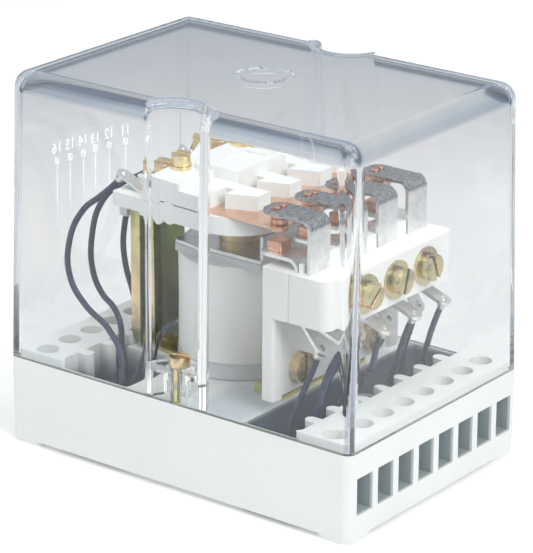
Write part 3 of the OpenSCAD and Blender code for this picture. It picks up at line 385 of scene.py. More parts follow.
# A zone is a tint and the bands that bound it: axis, low, high and softness of the ends
plasticLooks = {
    "base_plastic": {
        "light": (0.835, 0.865, 0.85), "dark": (0.805, 0.835, 0.822), "cloud": 30, "grain": 0.35,
        "rough": (0.38, 0.5), "wave": 0.05, "bite": 0.12, "glow": 0.0,
        "zones": (  # painted shade in the two wiring pits and inside the two rows of terminal openings, and a painted shadow on the platform beside the groove
            ((0.1, 0.14, 0.19), (("X", 20.3, 37.2, 0.1), ("Y", -34.5, 34.5, 0.1), ("Z", 0, 22.5, 3))),
            ((0.06, 0.1, 0.15), (("X", -37.2, -15.8, 0.1), ("Y", -34.5, 34.5, 0.1), ("Z", 0, 20, 9))),
            ((0.52, 0.575, 0.6), (("X", 37.3, 52.3, 0.4), ("Y", -33.4, 33.4, 0.1), ("Z", 5, 17, 1))),
            ((0.52, 0.575, 0.6), (("X", -52.3, -37.4, 0.4), ("Y", -33.4, 33.4, 0.1), ("Z", 5, 17, 1))),
            ((0.66, 0.71, 0.77), (("X", 4, 20.3, 7), ("Y", -33.4, -13, 6), ("Z", 21, 23.4, 0.5))),
        ),
    },
    "carrier_plastic": {"light": (0.86, 0.88, 0.865), "dark": (0.83, 0.85, 0.835), "cloud": 18, "grain": 0.3,
                        "rough": (0.34, 0.46), "wave": 0.05, "bite": 0.1, "glow": 0.08},
    "block_plastic": {"light": (0.9, 0.905, 0.885), "dark": (0.87, 0.875, 0.855), "cloud": 20, "grain": 0.3,
                      "rough": (0.32, 0.44), "wave": 0.05, "bite": 0.1, "glow": 0.08},
    "bobbin_plastic": {"light": (0.62, 0.645, 0.66), "dark": (0.56, 0.585, 0.6), "cloud": 14, "grain": 0.3,
                       "rough": (0.36, 0.5), "wave": 0.04, "bite": 0.12, "glow": 0.0},
    "coil_wrap": {"light": (0.92, 0.925, 0.91), "dark": (0.88, 0.885, 0.87), "cloud": 12, "grain": 0.5,
                  "rough": (0.42, 0.56), "wave": 0.1, "bite": 0.14, "glow": 0.05},
    "wire_cover": {"light": (0.038, 0.052, 0.105), "dark": (0.026, 0.035, 0.072), "cloud": 6, "grain": 0.3,
                   "rough": (0.24, 0.36), "wave": 0.02, "bite": 0.08, "glow": 0.0},
}
metalLooks = {
    "yellow_zinc": {
        "colours": ((0.0, (0.86, 0.64, 0.4)), (0.2, (0.93, 0.8, 0.42)), (0.42, (0.82, 0.75, 0.33)),
                    (0.56, (0.56, 0.6, 0.27)), (0.68, (0.6, 0.43, 0.36)), (0.82, (0.9, 0.72, 0.4)),
                    (1.0, (0.86, 0.64, 0.4))),
        "rainbow": 0.031, "phase": 0.26, "cloud": 5, "line": 0.5, "stretch": (1, 1, 0.06), "grain": 0.25,
        "rough": (0.2, 0.34), "lineBite": 0.12, "grainBite": 0.05,
        "shades": (  # painted shadow on the yoke's face towards the coil, darker still in its middle, and a darker, less green tint on the block's screws
            ((0.62, 0.68, 0.5), (("X", -30.6, -29.4, 0.3), ("Y", -25, 25, 0.1), ("Z", 12, 69, 2))),
            ((0.24, 0.3, 0.24), (("X", -30.6, -29.4, 0.3), ("Y", -14, 14, 5), ("Z", 12, 69, 2))),
            ((0.78, 0.72, 0.88), (("X", 38.4, 43, 0.6), ("Z", 44, 62, 1))),
        ),
    },
    # painted light: a paler copy of the yellow plating for the core, which sits in shade
    "core_zinc": {
        "colours": ((0.28, (0.6, 0.36, 0.32)), (0.42, (0.9, 0.62, 0.44)), (0.55, (0.96, 0.82, 0.38)),
                    (0.7, (0.72, 0.46, 0.36))),
        "metal": 0.45, "cloud": 5, "line": 0.5, "stretch": (1, 1, 0.06), "grain": 0.25,
        "rough": (0.24, 0.36), "lineBite": 0.12, "grainBite": 0.05,
    },
    "bright_steel": {
        "colours": ((0.3, (0.56, 0.57, 0.57)), (0.7, (0.72, 0.72, 0.7))),
        "cloud": 6, "line": 0.5, "stretch": (0.08, 1, 1), "grain": 0.25,
        "rough": (0.22, 0.36), "lineBite": 0.12, "grainBite": 0.06,
    },
    "tinned_strip": {
        "colours": ((0.3, (0.74, 0.75, 0.74)), (0.52, (0.86, 0.86, 0.85)), (0.7, (0.93, 0.92, 0.9))),
        "cloud": 3, "line": 0.4, "stretch": (0.1, 1, 0.1), "grain": 0.22,
        "rough": (0.24, 0.4), "lineBite": 0.16, "grainBite": 0.3,
        # the tops of the upper brackets
        "zones": (((0.52, 0.525, 0.53), (("X", 10, 33, 0.5), ("Z", 72, 82, 2))),),
        "speckles": ((0.1, 0.11, 0.13), 0.8, 0.8, (("X", 10, 33, 0.5), ("Z", 70.5, 82, 4))),
    },
    "spring_bronze": {
        "colours": ((0.3, (0.68, 0.4, 0.27)), (0.5, (0.8, 0.53, 0.38)), (0.7, (0.84, 0.6, 0.46))),
        "cloud": 5, "line": 0.4, "stretch": (0.05, 1, 1), "grain": 0.22,
        "rough": (0.2, 0.34), "lineBite": 0.14, "grainBite": 0.06,
        # the tinned end with the lugs
        "zones": (((0.8, 0.8, 0.79), (("X", -40, -21, 1.2),)),),
    },
    "contact_copper": {
        "colours": ((0.3, (0.56, 0.28, 0.19)), (0.5, (0.75, 0.42, 0.3)), (0.72, (0.82, 0.54, 0.42))),
        "cloud": 2.4, "line": 0.3, "stretch": (1, 1, 0.2), "grain": 0.2,
        "rough": (0.22, 0.38), "lineBite": 0.12, "grainBite": 0.12,
    },
}
clearLook = {
    "tints": ((0.985, 0.99, 0.995), (0.97, 0.977, 0.985)),
    # painted shade on the top, the rims and the corners, in place of darker refraction and reflection
    "topPaintedShade": (0.935, 0.95, 0.96),
    "rimPaintedShade": (0.82, 0.9, 0.98),
    "cornerPaintedShade": (0.5, 0.47, 0.56),
    "topSpan": (94.6, 200),  # the cover's top lies between these heights
    "topSoft": 1.2,
    "edges": (("X", 51.2), ("Y", 34.2)),  # the rims and corners lie beyond these
    "edgeSoft": 1.0,
    "haze": 26,
    "rough": (0.0, 0.02),
    "ripple": 38,
    "rippleBite": 0.12,
    "rippleDepth": 0.05,
    "ior": 1.49,
    "shade": (0.95, 0.96, 0.97),
    # pale glow for rays caught in the wall: painted light
    "caught": (0.5, 0.56, 0.64),
    "caughtAfter": 16,
}
finishes = {slot: mouldedPlastic(slot, look) for slot, look in plasticLooks.items()}
finishes.update({slot: platedMetal(slot, look) for slot, look in metalLooks.items()})
finishes["cover_clear"] = clearPlastic("cover_clear", clearLook)
print("finishes:", len(finishes))


def makeFloor(look):
    bm = bmesh.new()
    cells = look["floorCells"]
    bmesh.ops.create_grid(bm, x_segments=cells, y_segments=cells, size=look["floorSize"] / 2 * mm)
    mesh = bpy.data.meshes.new("paleFloor")
    bm.to_mesh(mesh)
    bm.free()
    floor = addObject("paleFloor", mesh)
    finish, tree, shader = newFinish("paleFloor")
    tones = ramped(tree, noise(tree, look["floorCloud"], detail=2), look["floorTones"])
    coords = tree.nodes.new("ShaderNodeTexCoord")
    length = tree.nodes.new("ShaderNodeVectorMath")
    length.operation = "LENGTH"
    tree.links.new(coords.outputs["Object"], length.inputs[0])
    away = ranged(tree, length.outputs["Value"], 0, 1, [distance * mm for distance in look["backdropSpan"]])
    dim = mixed(tree, mirroredRay(tree), tones, ramped(tree, away, look["backdrop"]), "MULTIPLY")
    tree.links.new(dim, shader.inputs["Base Color"])
    tree.links.new(dim, shader.inputs["Emission Color"])
    shader.inputs["Emission Strength"].default_value = look["floorGlow"]
    shader.inputs["Roughness"].default_value = look["floorRough"]
    shader.inputs["Specular IOR Level"].default_value = look["floorShine"]
    mesh.materials.append(finish)


makeSky(studioLook)
for lightName, lightLook in studioLook["lights"].items():
    makeLight(lightName, lightLook, studioLook["aim"])
makeFloor(studioLook)
print("studio set")


# Piece helpers
def weld(bm, gap):
    bmesh.ops.remove_doubles(bm, verts=bm.verts, dist=gap * mm)


def place(mesh, name, slot, body, replaced=(), smoothUnder=35):
    for polygon in mesh.polygons:
        polygon.use_smooth = True
    bm = bmesh.new()
    bm.from_mesh(mesh)
    limit = math.radians(smoothUnder)
    for edge in bm.edges:
        edge.smooth = len(edge.link_faces) == 2 and edge.calc_face_angle(0) < limit
    bm.to_mesh(mesh)
    bm.free()
    mesh.materials.clear()
    mesh.materials.append(finishes[slot])
    piece = addObject(name, mesh)
    if body:
        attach(piece, body)
    if replaced:
        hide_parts(*replaced)
    return piece


def meshFrom(bm, name):
    mesh = bpy.data.meshes.new(name)
    bm.to_mesh(mesh)
    bm.free()
    return mesh


def faceOutwards(bm):
    bmesh.ops.recalc_face_normals(bm, faces=bm.faces)
    if bm.calc_volume(signed=True) < 0:
        bmesh.ops.reverse_faces(bm, faces=bm.faces)


def bakedMesh(obj, name):
    shown = obj.evaluated_get(bpy.context.evaluated_depsgraph_get())
    mesh = bpy.data.meshes.new_from_object(shown)
    mesh.name = name
    return mesh


def camel(node):
    first, *rest = node.split("_")
    return first + "".join(word.capitalize() for word in rest)


def softenEdges(piece, width):
    bevel = piece.modifiers.new("softEdges", "BEVEL")
    bevel.width = width * mm
    bevel.segments = dressLook["bevelSteps"]
    bevel.limit_method = "ANGLE"
    bevel.angle_limit = math.radians(dressLook["bevelOver"])
    bevel.harden_normals = True
    bevel.use_clamp_overlap = True


def dressNode(node, edgeWidth):
    bm = bmesh.new()
    bm.from_mesh(nodes[node].data)
    weld(bm, dressLook["weld"])
    flatUnder = math.radians(dressLook["flatUnder"])
    bmesh.ops.dissolve_limit(bm, angle_limit=flatUnder, verts=bm.verts, edges=bm.edges)
    piece = place(meshFrom(bm, camel(node)), camel(node), slotOf[node], bodyOf[node], [node])
    softenEdges(piece, edgeWidth)
    return piece


# Hard pieces: the solids' own shapes with softened edges, in millimetres
dressLook = {
    "weld": 0.002,
    "flatUnder": 0.6,  # degrees, below which faces are joined
    "bevelOver": 32,   # degrees, above which an edge is softened
    "bevelSteps": 2,
}
edgeWidths = {
    "base_moulding": 0.22,
    "cover_screws": 0.16,
    "terminal_clamps_left": 0.12,
    "terminal_clamps_right": 0.12,
    "terminal_screws_left": 0.14,
    "terminal_screws_right": 0.14,
    "yoke": 0.22,
    "core": 0.2,
    "core_screw": 0.16,
    "coil_bobbin": 0.22,
    "coil_plate": 0.12,
    "armature": 0.2,
    "armature_rivets": 0.14,
    "carrier_lower": 0.2,
    "carrier_upper": 0.2,
    "carrier_washers": 0.12,
    "carrier_screws": 0.16,
    "moving_contacts": 0.16,
    "upper_contacts": 0.14,
    "lower_contacts": 0.2,
    "block_inner": 0.25,
    "block_middle": 0.22,
    "block_outer": 0.3,
    "block_washers": 0.12,
    "block_screws": 0.18,
    "support_bracket": 0.2,
    "support_screws": 0.16,
}
for poleNumber in (1, 2, 3, 4):
    edgeWidths[f"moving_spring_{poleNumber}"] = 0.06
    edgeWidths[f"upper_bracket_{poleNumber}"] = 0.14
    edgeWidths[f"lower_bracket_{poleNumber}"] = 0.12
dressed = {node: dressNode(node, width) for node, width in edgeWidths.items()}
dressed["core"].data.materials[0] = finishes["core_zinc"]  # painted light: a paler, less metallic copy of the plating, so the core shows bright in the coil's shade
print("dressed nodes:", len(dressed))


# Clear cover: a drafted shell with two screw grooves, a shelf in each and a sprue mark on top
coverLook = {
    "draft": 0.9,
    "wall": 2.2,
    "rim": 4.4,          # rounding of the top edges
    "rimInside": 3.4,
    "cornerLow": 2.5,
    "cornerHigh": 4.4,
    "groove": 7.3,
    "grooveDraft": 0.4,
    "grooveRim": 1.6,
    "mouthLow": 0.7,     # rounding of the groove's mouth at the shelf
    "mouthHigh": 1.5,
    "mouthPower": 4.0,
    "shelf": 32.0,
    "shelfThick": 2.6,
    "screwIn": 2.9,
    "bossRadius": 3.7,
    "bossLow": 24.95,
    "boreRadius": 1.7,
    "bossSink": 1.2,     # how far the boss reaches into the shelf
    "bossBack": 0.6,     # and how far it stays behind the wall's face
    "sprueRings": ((8, 0), (7.6, 0), (7.35, 0.5), (5.65, 0.5), (5.4, 0)),  # radius and depth
    "least": 0.5,        # smallest rounding, and the first step past one
    "leastRim": 0.4,
    "arcSteps": 8,
    "mouthSteps": 7,
    "levels": 9,
    "rimSteps": 8,
    "roundSides": 72,
    "toolOver": 1,       # how far a cutting tool reaches past what it cuts
    "weld": 0.003,
    "sliver": 0.002,
    "smoothUnder": 40,   # degrees
}


def flipped(points, x, y):
    turned = Vector((x, y))
    return [(p * turned, way * turned, full) for p, way, full in reversed(points)]


def coverOutline(look, z, inset, grooved=True):
    low, high = boxOf("cover")
    share = min((z - low.z) / (high.z - look["rim"] - low.z), 1)
    length = high.x - look["draft"] * share - inset
    width = high.y - look["draft"] * share - inset
    corner = max(look["cornerLow"] + (look["cornerHigh"] - look["cornerLow"]) * share - inset, look["least"])
    radius = look["groove"] + look["grooveDraft"] * share + inset
    mouth = look["mouthLow"] + (look["mouthHigh"] - look["mouthLow"]) * share ** look["mouthPower"]
    mouth = max(mouth - inset, look["least"])
    reach = high.y - width + mouth
    mouthX = math.sqrt((radius + mouth) ** 2 - reach ** 2)
    turn = math.atan2(mouthX, reach)
    points = []  # place, way inwards, share of the full rim
    for step in range(look["arcSteps"] + 1):
        angle = turn * step / look["arcSteps"]
        way = Vector((math.sin(angle), math.cos(angle)))
        points.append((Vector((0, -high.y)) + radius * way, way, 0))
    for step in range(1, look["mouthSteps"] + 1):
        full = step / look["mouthSteps"]
        angle = turn * (1 - full)
        way = Vector((math.sin(angle), math.cos(angle)))
        points.append((Vector((mouthX, mouth - width)) - mouth * way, way, full))
    if not grooved:
        points = [(Vector((p.x, -width)), Vector((0, 1)), 1) for p, way, full in points]
    lineEnd = length - corner
    for x in (mouthX + look["least"], (mouthX + lineEnd) / 2, lineEnd - look["least"]):
        points.append((Vector((x, -width)), Vector((0, 1)), 1))
    for step in range(look["arcSteps"] + 1):
        angle = math.pi / 2 * step / look["arcSteps"]
        way = Vector((-math.sin(angle), math.cos(angle)))
        points.append((Vector((lineEnd, corner - width)) - corner * way, way, 1))
    for y in (corner - width + look["least"], (corner - width) / 2, 0):
        points.append((Vector((length, y)), Vector((-1, 0)), 1))
    right = points + flipped(points[:-1], 1, -1)
    return right + flipped(right[1:-1], -1, 1)


def ringPlaces(points, z):
    return [Vector((p.x, p.y, z)) * mm for p, way, full in points]


def rimPlaces(points, top, rim, grooveRim, angle):
    places = []
    for p, way, full in points:
        size = grooveRim + (rim - grooveRim) * full
        move = p + way * size * (1 - math.cos(angle))
        places.append(Vector((move.x, move.y, top - size + size * math.sin(angle))) * mm)
    return places


def ringEdges(bm, ring):
    return [bm.edges.get((ring[i - 1], ring[i])) for i in range(len(ring))]


def startRing(bm, places):
    ring = bmesh.ops.create_circle(bm, segments=len(places), radius=mm)["verts"]
    for vert, spot in zip(ring, places):
        vert.co = spot
    return ring


def growRing(bm, ring, places):
    made = bmesh.ops.extrude_edge_only(bm, edges=ringEdges(bm, ring))["geom"]
    fresh = {part for part in made if isinstance(part, bmesh.types.BMVert)}
    grown = []
    for vert in ring:
        grown.append(next(e.other_vert(vert) for e in vert.link_edges if e.other_vert(vert) in fresh))
    for vert, spot in zip(grown, places):
        vert.co = spot
    return grown


def coverSkin(bm, look, inset, seam=None):
    low, high = boxOf("cover")
    top = high.z - inset
    rim = look["rimInside"] if inset else look["rim"]
    grooveRim = max(look["grooveRim"] - inset, look["leastRim"])
    if seam:  # the inner skin, whose grooves run down to the seam
        lower = low.z
        seamRing = growRing(bm, seam, ringPlaces(coverOutline(look, lower, inset), lower))
        ring = seamRing
    else:  # the outer skin, whose grooves end at the shelves
        lower = look["shelf"]
        seamRing = startRing(bm, ringPlaces(coverOutline(look, low.z, inset, False), low.z))
        ring = growRing(bm, seamRing, ringPlaces(coverOutline(look, lower, inset, False), lower))
        ring = growRing(bm, ring, ringPlaces(coverOutline(look, lower, inset), lower))
    upper = top - rim
    for step in range(1, look["levels"] + 1):
        z = lower + (upper - lower) * step / look["levels"]
        ring = growRing(bm, ring, ringPlaces(coverOutline(look, z, inset), z))
    last = coverOutline(look, upper, inset)
    for step in range(look["rimSteps"] + 1):
        angle = math.pi / 2 * step / look["rimSteps"]
        ring = growRing(bm, ring, rimPlaces(last, top, rim, grooveRim, angle))
    flat = []
    for p, way, full in last:
        flat.append((p + way * (grooveRim + (rim - grooveRim) * full + look["least"]), way, full))
    return seamRing, growRing(bm, ring, ringPlaces(flat, top))


def around(centre, radius, angle, z):
    return Vector((centre.x + radius * math.cos(angle), centre.y + radius * math.sin(angle), z))


def circlePlaces(radius, z, count, centre=Vector((0, 0))):
    return [around(centre, radius, 2 * math.pi * step / count, z) * mm for step in range(count)]


# Two upright rods, one in each groove, cut off flat at a distance from the middle
def makeTool(y, radius, bottom, top, limit, sides):
    rod = bmesh.new()
    for side in (-1, 1):
        lift = Matrix.Translation(Vector((0, side * y, (bottom + top) / 2)) * mm)
        bmesh.ops.create_cone(rod, cap_ends=True, segments=sides, radius1=radius * mm, radius2=radius * mm,
                              depth=(top - bottom) * mm, matrix=lift)
    for side in (-1, 1):
        geometry = rod.verts[:] + rod.edges[:] + rod.faces[:]
        cut = bmesh.ops.bisect_plane(rod, geom=geometry, plane_co=(0, side * limit * mm, 0),
                                     plane_no=(0, side, 0), clear_outer=True)["geom_cut"]
        bmesh.ops.edgeloop_fill(rod, edges=[part for part in cut if isinstance(part, bmesh.types.BMEdge)])
    faceOutwards(rod)
    return addObject("coverTool", meshFrom(rod, "coverTool"))


def makeCover(look):
    low, high = boxOf("cover")
    sides = look["roundSides"]
    bm = bmesh.new()
    outerSeam, edge = coverSkin(bm, look, 0)
    sprue = []
    for radius, depth in look["sprueRings"]:
        places = circlePlaces(radius, high.z - depth, sides)
        sprue.append(growRing(bm, sprue[-1], places) if sprue else startRing(bm, places))
    bmesh.ops.triangle_fill(bm, use_beauty=True, edges=ringEdges(bm, edge) + ringEdges(bm, sprue[0]))
    bmesh.ops.edgeloop_fill(bm, edges=ringEdges(bm, sprue[-1]))
    edge = coverSkin(bm, look, look["wall"], outerSeam)[1]
    bmesh.ops.triangle_fill(bm, use_beauty=True, edges=ringEdges(bm, edge))
    weld(bm, look["weld"])
    bmesh.ops.dissolve_degenerate(bm, dist=look["sliver"] * mm, edges=bm.edges)
    faceOutwards(bm)
    shell = addObject("coverShell", meshFrom(bm, "coverShell"))
    screwY = high.y - look["screwIn"]
    under = low.z - look["toolOver"]
    shelf = look["shelf"]
    pocket = (high.y, look["groove"], under, shelf - look["shelfThick"], high.y - look["wall"])
    boss = (screwY, look["bossRadius"], look["bossLow"], shelf - look["bossSink"], high.y - look["bossBack"])
    bore = (screwY, look["boreRadius"], under, shelf + look["toolOver"], high.y)
    tools = []
    for kind, sizes in (("DIFFERENCE", pocket), ("UNION", boss), ("DIFFERENCE", bore)):
        tool = makeTool(*sizes, sides)
        tools.append(tool)
        change = shell.modifiers.new("bossOrBore", "BOOLEAN")
        change.operation = kind
        change.solver = "EXACT"
        change.object = tool
    mesh = bakedMesh(shell, "clearCover")
    for old in tools + [shell]:
        bpy.data.objects.remove(old)
    return place(mesh, "clearCover", "cover_clear", "frame", ["cover"], look["smoothUnder"])


clearCover = makeCover(coverLook)
print("cover:", len(clearCover.data.polygons), "faces")


# Coil: a white tape wrap whose end laps over itself, drawn in a little at mid-height
coilLook = {
    "radius": 15.95,
    "lap": 0.28,
    "lapAt": 205,    # degrees round the coil
    "bore": 8.1,
    "edge": 0.5,
    "edgeShare": 0.6,
    "waist": 0.12,
    "sides": 96,
    "weld": 0.002,
    "soft": 0.1,
}


def lapPlaces(look, centre, z, less):
    places = []
    for step in range(look["sides"]):
        angle = 2 * math.pi * step / look["sides"]
        share = ((math.degrees(angle) - look["lapAt"]) % 360) / 360
        size = look["radius"] - look["lap"] * (1 - share) - less
        places.append(around(centre, size, angle, z) * mm)
    return places


def makeCoil(look):
    low, high = boxOf("coil_winding")
    centre = (low + high) / 2
    rounded = look["edge"] * look["edgeShare"]
    levels = ((low.z, rounded), (low.z + look["edge"], 0), (centre.z, look["waist"]),
              (high.z - look["edge"], 0), (high.z, rounded))
    bm = bmesh.new()
    first = startRing(bm, circlePlaces(look["bore"], low.z, look["sides"], centre))
    ring = first
    for z, less in levels:
        ring = growRing(bm, ring, lapPlaces(look, centre, z, less))
    ring = growRing(bm, ring, circlePlaces(look["bore"], high.z, look["sides"], centre))
    bmesh.ops.bridge_loops(bm, edges=ringEdges(bm, ring) + ringEdges(bm, first))
    weld(bm, look["weld"])
    bmesh.ops.recalc_face_normals(bm, faces=bm.faces)
    piece = place(meshFrom(bm, "coilWrap"), "coilWrap", "coil_wrap", "frame", ["coil_winding"])
    softenEdges(piece, look["soft"])


makeCoil(coilLook)
print("coil made")


# Wires: smooth tubes along the routes that the solids have, lug end first
wireLook = {
    "radius": 0.78,
    "sides": 5,
    "steps": 10,
    "weld": 0.001,
    "bendTo": 4,  # not used
}
rightRoutes = [
    [(31.9, -18.8, 38.9), (31.2, -19.2, 36), (28.6, -21, 27.8), (27.4, -24.4, 19.4), (30, -28.6, 11.4),
     (35.8, -29.8, 8.7)],
    [(39.9, -18.8, 42.3), (37.6, -19.8, 39), (35.6, -21.2, 33), (34.4, -21.6, 28), (32, -21.6, 20),
     (31, -21.3, 12), (35.8, -21.2, 8.7)],
    [(31.9, -6.2, 38.9), (31, -7.4, 35), (28.2, -10.4, 27), (27.2, -12.9, 18), (29.8, -12.9, 10.6),
     (35.8, -12.8, 8.7)],
    [(39.9, -6.2, 42.3), (37.8, -5.6, 38.6), (35, -3.6, 32), (29.6, 0.2, 26.2), (26.8, 2.8, 15.6),
     (35.8, 4.2, 8.7)],
    [(39.9, 6.2, 42.3), (37.8, 7, 38.6), (34.4, 8.6, 31), (30.4, 10.8, 21), (30.2, 12.2, 11.6),
     (35.8, 12.8, 8.7)],
    [(31.9, 18.8, 38.9), (31, 19, 35), (28.2, 19.8, 27), (27.2, 20.8, 18), (29.8, 21.1, 10.6),
     (35.8, 21.2, 8.7)],
    [(39.9, 18.8, 42.3), (38, 19.6, 38.6), (34.4, 21.6, 31), (30.4, 25.2, 21), (30.4, 28.6, 12),
     (35.8, 29.8, 8.7)],
]
leftRoutes = [
    [(-28.8, -18.8, 70.9), (-30.8, -18.9, 68.6), (-35, -20, 64.6), (-39.2, -21.2, 60.8), (-43.6, -22, 51),
     (-43.2, -22, 41.5), (-38.4, -22, 35.6), (-30.5, -22.4, 31), (-24.6, -24.4, 24), (-25.8, -28.2, 13),
     (-35.8, -29.8, 8.7)],
    [(-28.8, -6.2, 70.9), (-31.2, -7, 68.4), (-36.4, -9.8, 65.2), (-41.4, -11.4, 60), (-44.6, -12, 50),
     (-44, -12.4, 40.5), (-41.6, -11.8, 35), (-38.2, -11, 31.4), (-35.6, -11.6, 26.5), (-35.4, -12.7, 18),
     (-35.5, -12.8, 8)],
    [(-28.8, 6.2, 70.9), (-31.4, 5.8, 68.2), (-36.8, 3.8, 65), (-41.6, 0.6, 57.5), (-42.6, -1.8, 49),
     (-42, -2.2, 41), (-39.6, -2, 33), (-36.4, -3.2, 27), (-35.5, -4.2, 20), (-35.5, -4.2, 8)],
    [(-28.8, 18.8, 70.9), (-31.4, 18.8, 68), (-37, 18.6, 62), (-40.6, 17.8, 54), (-40.4, 16.6, 44),
     (-36.4, 15, 33), (-30.6, 13.8, 21), (-30.8, 13.2, 11.4), (-35.8, 12.8, 8.7)],
]
leadRoutes = [
    [(-18.5, 10.4, 31), (-20.6, 12.2, 30.6), (-24.6, 17, 27), (-26.6, 23.6, 18), (-29, 28.4, 11),
     (-35.8, 29.8, 8.7)],
    [(-19.2, -9.5, 31), (-21.4, -11.6, 30.8), (-23.6, -14, 27.6), (-25.2, -16.6, 21), (-27.6, -19.6, 13.6),
     (-31.6, -21.1, 9.8), (-35.8, -21.2, 8.7)],
]


def tubeMesh(name, route, radius, look, bent=True):
    curve = bpy.data.curves.new(name, "CURVE")
    curve.dimensions = "3D"
    curve.bevel_depth = radius * mm
    curve.bevel_resolution = look["sides"]
    curve.resolution_u = look["steps"]
    curve.use_fill_caps = True
    kind = "BEZIER" if bent else "POLY"
    spline = curve.splines.new(kind)
    points = spline.bezier_points if bent else spline.points
    points.add(len(route) - 1)
    for point, spot in zip(points, route):
        point.co = Vector(spot) * mm if bent else (*(Vector(spot) * mm), 1)
        if bent:
            point.handle_left_type = "AUTO"
            point.handle_right_type = "AUTO"
    holder = addObject(name, curve)
    raw = bakedMesh(holder, name)
    bpy.data.objects.remove(holder)
    bm = bmesh.new()
    bm.from_mesh(raw)
    weld(bm, look["weld"])
    faceOutwards(bm)
    return meshFrom(bm, name)


def makeWire(node, route, look):
    mesh = tubeMesh(camel(node), route, look["radius"], look)
    moving = node.startswith("wire_left")
    piece = place(mesh, camel(node), "wire_cover", None if moving else "frame", [node])
    if moving:
        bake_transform(piece)


wireRoutes = {f"wire_right_{i + 1}": route for i, route in enumerate(rightRoutes)}
wireRoutes.update({f"wire_left_{i + 1}": route for i, route in enumerate(leftRoutes)})
wireRoutes.update({f"coil_lead_{i + 1}": route for i, route in enumerate(leadRoutes)})
for wireNode, wireRoute in wireRoutes.items():
    makeWire(wireNode, wireRoute, wireLook)
print("wires:", len(wireRoutes))


# Return spring between the yoke's stud and the armature's tail
springLook = {
    "coilRadius": 1.6,
    "wire": 0.3,
    "turns": 9,
    "hook": 1.2,  # height of the straight end at top and bottom
    "steps": 20,
    "sides": 3,
    "weld": 0.001,
}


def makeReturnSpring(look):
    low, high = boxOf("return_spring")
    x = (low.x + high.x) / 2
    bottom, top = low.z + look["hook"], high.z - look["hook"]
    route = [(x, 0, low.z + look["wire"])]
    count = look["turns"] * look["steps"]
    for step in range(count + 1):
        angle = 2 * math.pi * step / look["steps"]
        z = bottom + (top - bottom) * step / count
        route.append(around(Vector((x, 0)), look["coilRadius"], angle, z))
    route.append((x, 0, high.z - look["wire"]))
    mesh = tubeMesh("returnSpring", route, look["wire"], look, bent=False)
    piece = place(mesh, "returnSpring", "bright_steel", None, ["return_spring"])
    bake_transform(piece)


makeReturnSpring(springLook)
print("return spring made")


# Solder: a bright bead round each bared wire end, and a flatter one on the lug or tag under it
solderLook = {
    "lugs": {"length": 1.9, "radius": 1.15, "flat": (1, 0, -0.35)},
    "tags": {"length": 1.7, "radius": 1.0, "flat": (1, 0, 0)},
    "lean": 0.35,       # how far the bead sits along the wire
    "padLean": 0.4,     # the flatter bead's share of each of these
    "padLength": 0.85,
    "padRadius": 0.8,
    "sides": 20,
    "rings": 12,
}


def addBead(bm, centre, along, length, radius, look):
    turn = Vector(along).to_track_quat("Z", "Y").to_matrix().to_4x4()
    size = Matrix.Diagonal((radius * mm, radius * mm, length * mm, 1))
    spot = Matrix.Translation(Vector(centre) * mm)
    bmesh.ops.create_uvsphere(bm, u_segments=look["sides"], v_segments=look["rings"], radius=1,
                              matrix=spot @ turn @ size)


def makeSolder(name, routes, body, look, kind="lugs"):
    bm = bmesh.new()
    bead = look[kind]
    for route in routes:
        start, following = (Vector(spot) for spot in (route[:2] if kind == "lugs" else route[:-3:-1]))
        way = (following - start).normalized()
        addBead(bm, start + way * look["lean"], way, bead["length"], bead["radius"], look)
        addBead(bm, start - way * look["lean"] * look["padLean"], bead["flat"],
                bead["length"] * look["padLength"], bead["radius"] * look["padRadius"], look)
    place(meshFrom(bm, name), name, "tinned_strip", body)


makeSolder("solderLugsRight", rightRoutes, "frame", solderLook)
makeSolder("solderLugsLeft", leftRoutes, "armature", solderLook)
makeSolder("solderTags", rightRoutes + leftRoutes + leadRoutes, "frame", solderLook, "tags")
print("solder made")


# White print on the cover's end wall: terminal numbers, a mark under each and a line down from it
printLook = {
    "numbers": (("16", -17.1, 73.4, 69.9, 51.0), ("15", -12.1, 73.1, 69.7, 50.5),
                ("14", -7.0, 72.9, 69.4, 55.0), ("13", -2.3, 72.3, 69.6, 57.5),
                ("12", 3.2, 72.4, 69.1, 57.9), ("11", 9.7, 71.7, 68.7, 60.8)),  # y, then three heights
    "fontSize": 3.92,
    "weight": 0.06,      # extra width round the numbers' strokes
    "markRadius": 1.0,
    "markSides": 24,
    "slash": 2.6,
    "slashTurn": 35,
    "line": 0.42,
    "lineGap": 0.3,
    "proud": 0.04,
    "thick": 0.03,
    "weld": 0.0005,
    "patch": 0.8,
    "tones": ((0.3, (0.8, 0.82, 0.84)), (0.6, (0.95, 0.95, 0.95))),
    # the print glows a little: painted light
    "glow": 0.35,
    "rough": 0.5,
}


def printFinish(look):
    finish, tree, shader = newFinish("white_print")
    patches = ramped(tree, noise(tree, look["patch"], detail=3), look["tones"])
    tree.links.new(patches, shader.inputs["Base Color"])
    # painted light: the print glows with its own colour
    tree.links.new(patches, shader.inputs["Emission Color"])
    shader.inputs["Emission Strength"].default_value = look["glow"]
    shader.inputs["Roughness"].default_value = look["rough"]
    return finish


def addNumber(bm, word, y, z, look):
    text = bpy.data.curves.new("number" + word, "FONT")
    text.body = word
    text.size = look["fontSize"] * mm
    text.extrude = look["thick"] / 2 * mm
    text.offset = look["weight"] * mm
    text.align_x = "CENTER"
    text.align_y = "CENTER"
    holder = addObject("number" + word, text)
    letters = bakedMesh(holder, "number" + word)
    bpy.data.objects.remove(holder)
    letters.transform(Matrix(((0, 0, -1, 0), (-1, 0, 0, y * mm), (0, 1, 0, z * mm), (0, 0, 0, 1))))
    bm.from_mesh(letters)


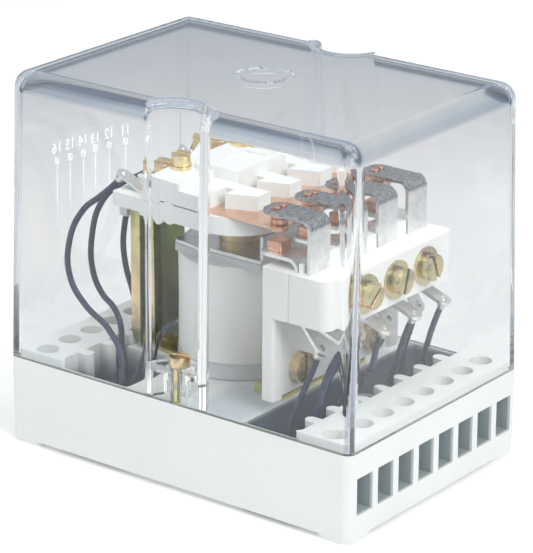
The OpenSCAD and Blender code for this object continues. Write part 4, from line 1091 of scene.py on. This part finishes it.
def addMark(bm, y, z, look):
    centre = Vector((0, y, z)) * mm
    half, radius, width = look["thick"] / 2, look["markRadius"], look["line"]
    corners = ((-half, radius), (half, radius), (half, radius - width), (-half, radius - width))
    section = [bm.verts.new(centre + Vector((x, 0, rise)) * mm) for x, rise in corners]
    edges = [bm.edges.new((section[i - 1], section[i])) for i in range(len(section))]
    bmesh.ops.spin(bm, geom=section + edges, cent=centre, axis=(1, 0, 0), angle=2 * math.pi,
                   steps=look["markSides"], use_merge=True)


def addBar(bm, y, z, length, look, turn=0):
    lift = Matrix.Translation(Vector((0, y, z)) * mm) @ Matrix.Rotation(math.radians(turn), 4, "X")
    size = Matrix.Diagonal((look["thick"] * mm, look["line"] * mm, length * mm, 1))
    bmesh.ops.create_cube(bm, size=1, matrix=lift @ size)


def makePrint(look):
    low, high = boxOf("cover")
    bm = bmesh.new()
    for word, y, numberZ, markZ, bottom in look["numbers"]:
        addNumber(bm, word, y, numberZ, look)
        addMark(bm, y, markZ, look)
        addBar(bm, y, markZ, look["slash"], look, look["slashTurn"])
        top = markZ - look["markRadius"] - look["lineGap"]
        addBar(bm, y, (bottom + top) / 2, top - bottom, look)
    for vert in bm.verts:  # leans the print back with the drafted wall
        share = (vert.co.z / mm - low.z) / (high.z - coverLook["rim"] - low.z)
        vert.co.x += (low.x + coverLook["draft"] * share - look["proud"]) * mm
    weld(bm, look["weld"])
    bmesh.ops.recalc_face_normals(bm, faces=bm.faces)
    mesh = meshFrom(bm, "endPrint")
    place(mesh, "endPrint", "cover_clear", "frame")
    mesh.materials[0] = printFinish(look)


makePrint(printLook)
print("print made")

# Many bounces, since rays cross the cover's wall again and again
bounceLimits = {"all": 40, "through": 36, "clear": 18, "shiny": 36, "dull": 4}
scene.view_settings.view_transform = "Standard"
scene.view_settings.look = "None"
scene.cycles.use_denoising = True
scene.cycles.max_bounces = bounceLimits["all"]
scene.cycles.transmission_bounces = bounceLimits["through"]
scene.cycles.transparent_max_bounces = bounceLimits["clear"]
scene.cycles.glossy_bounces = bounceLimits["shiny"]
scene.cycles.diffuse_bounces = bounceLimits["dull"]
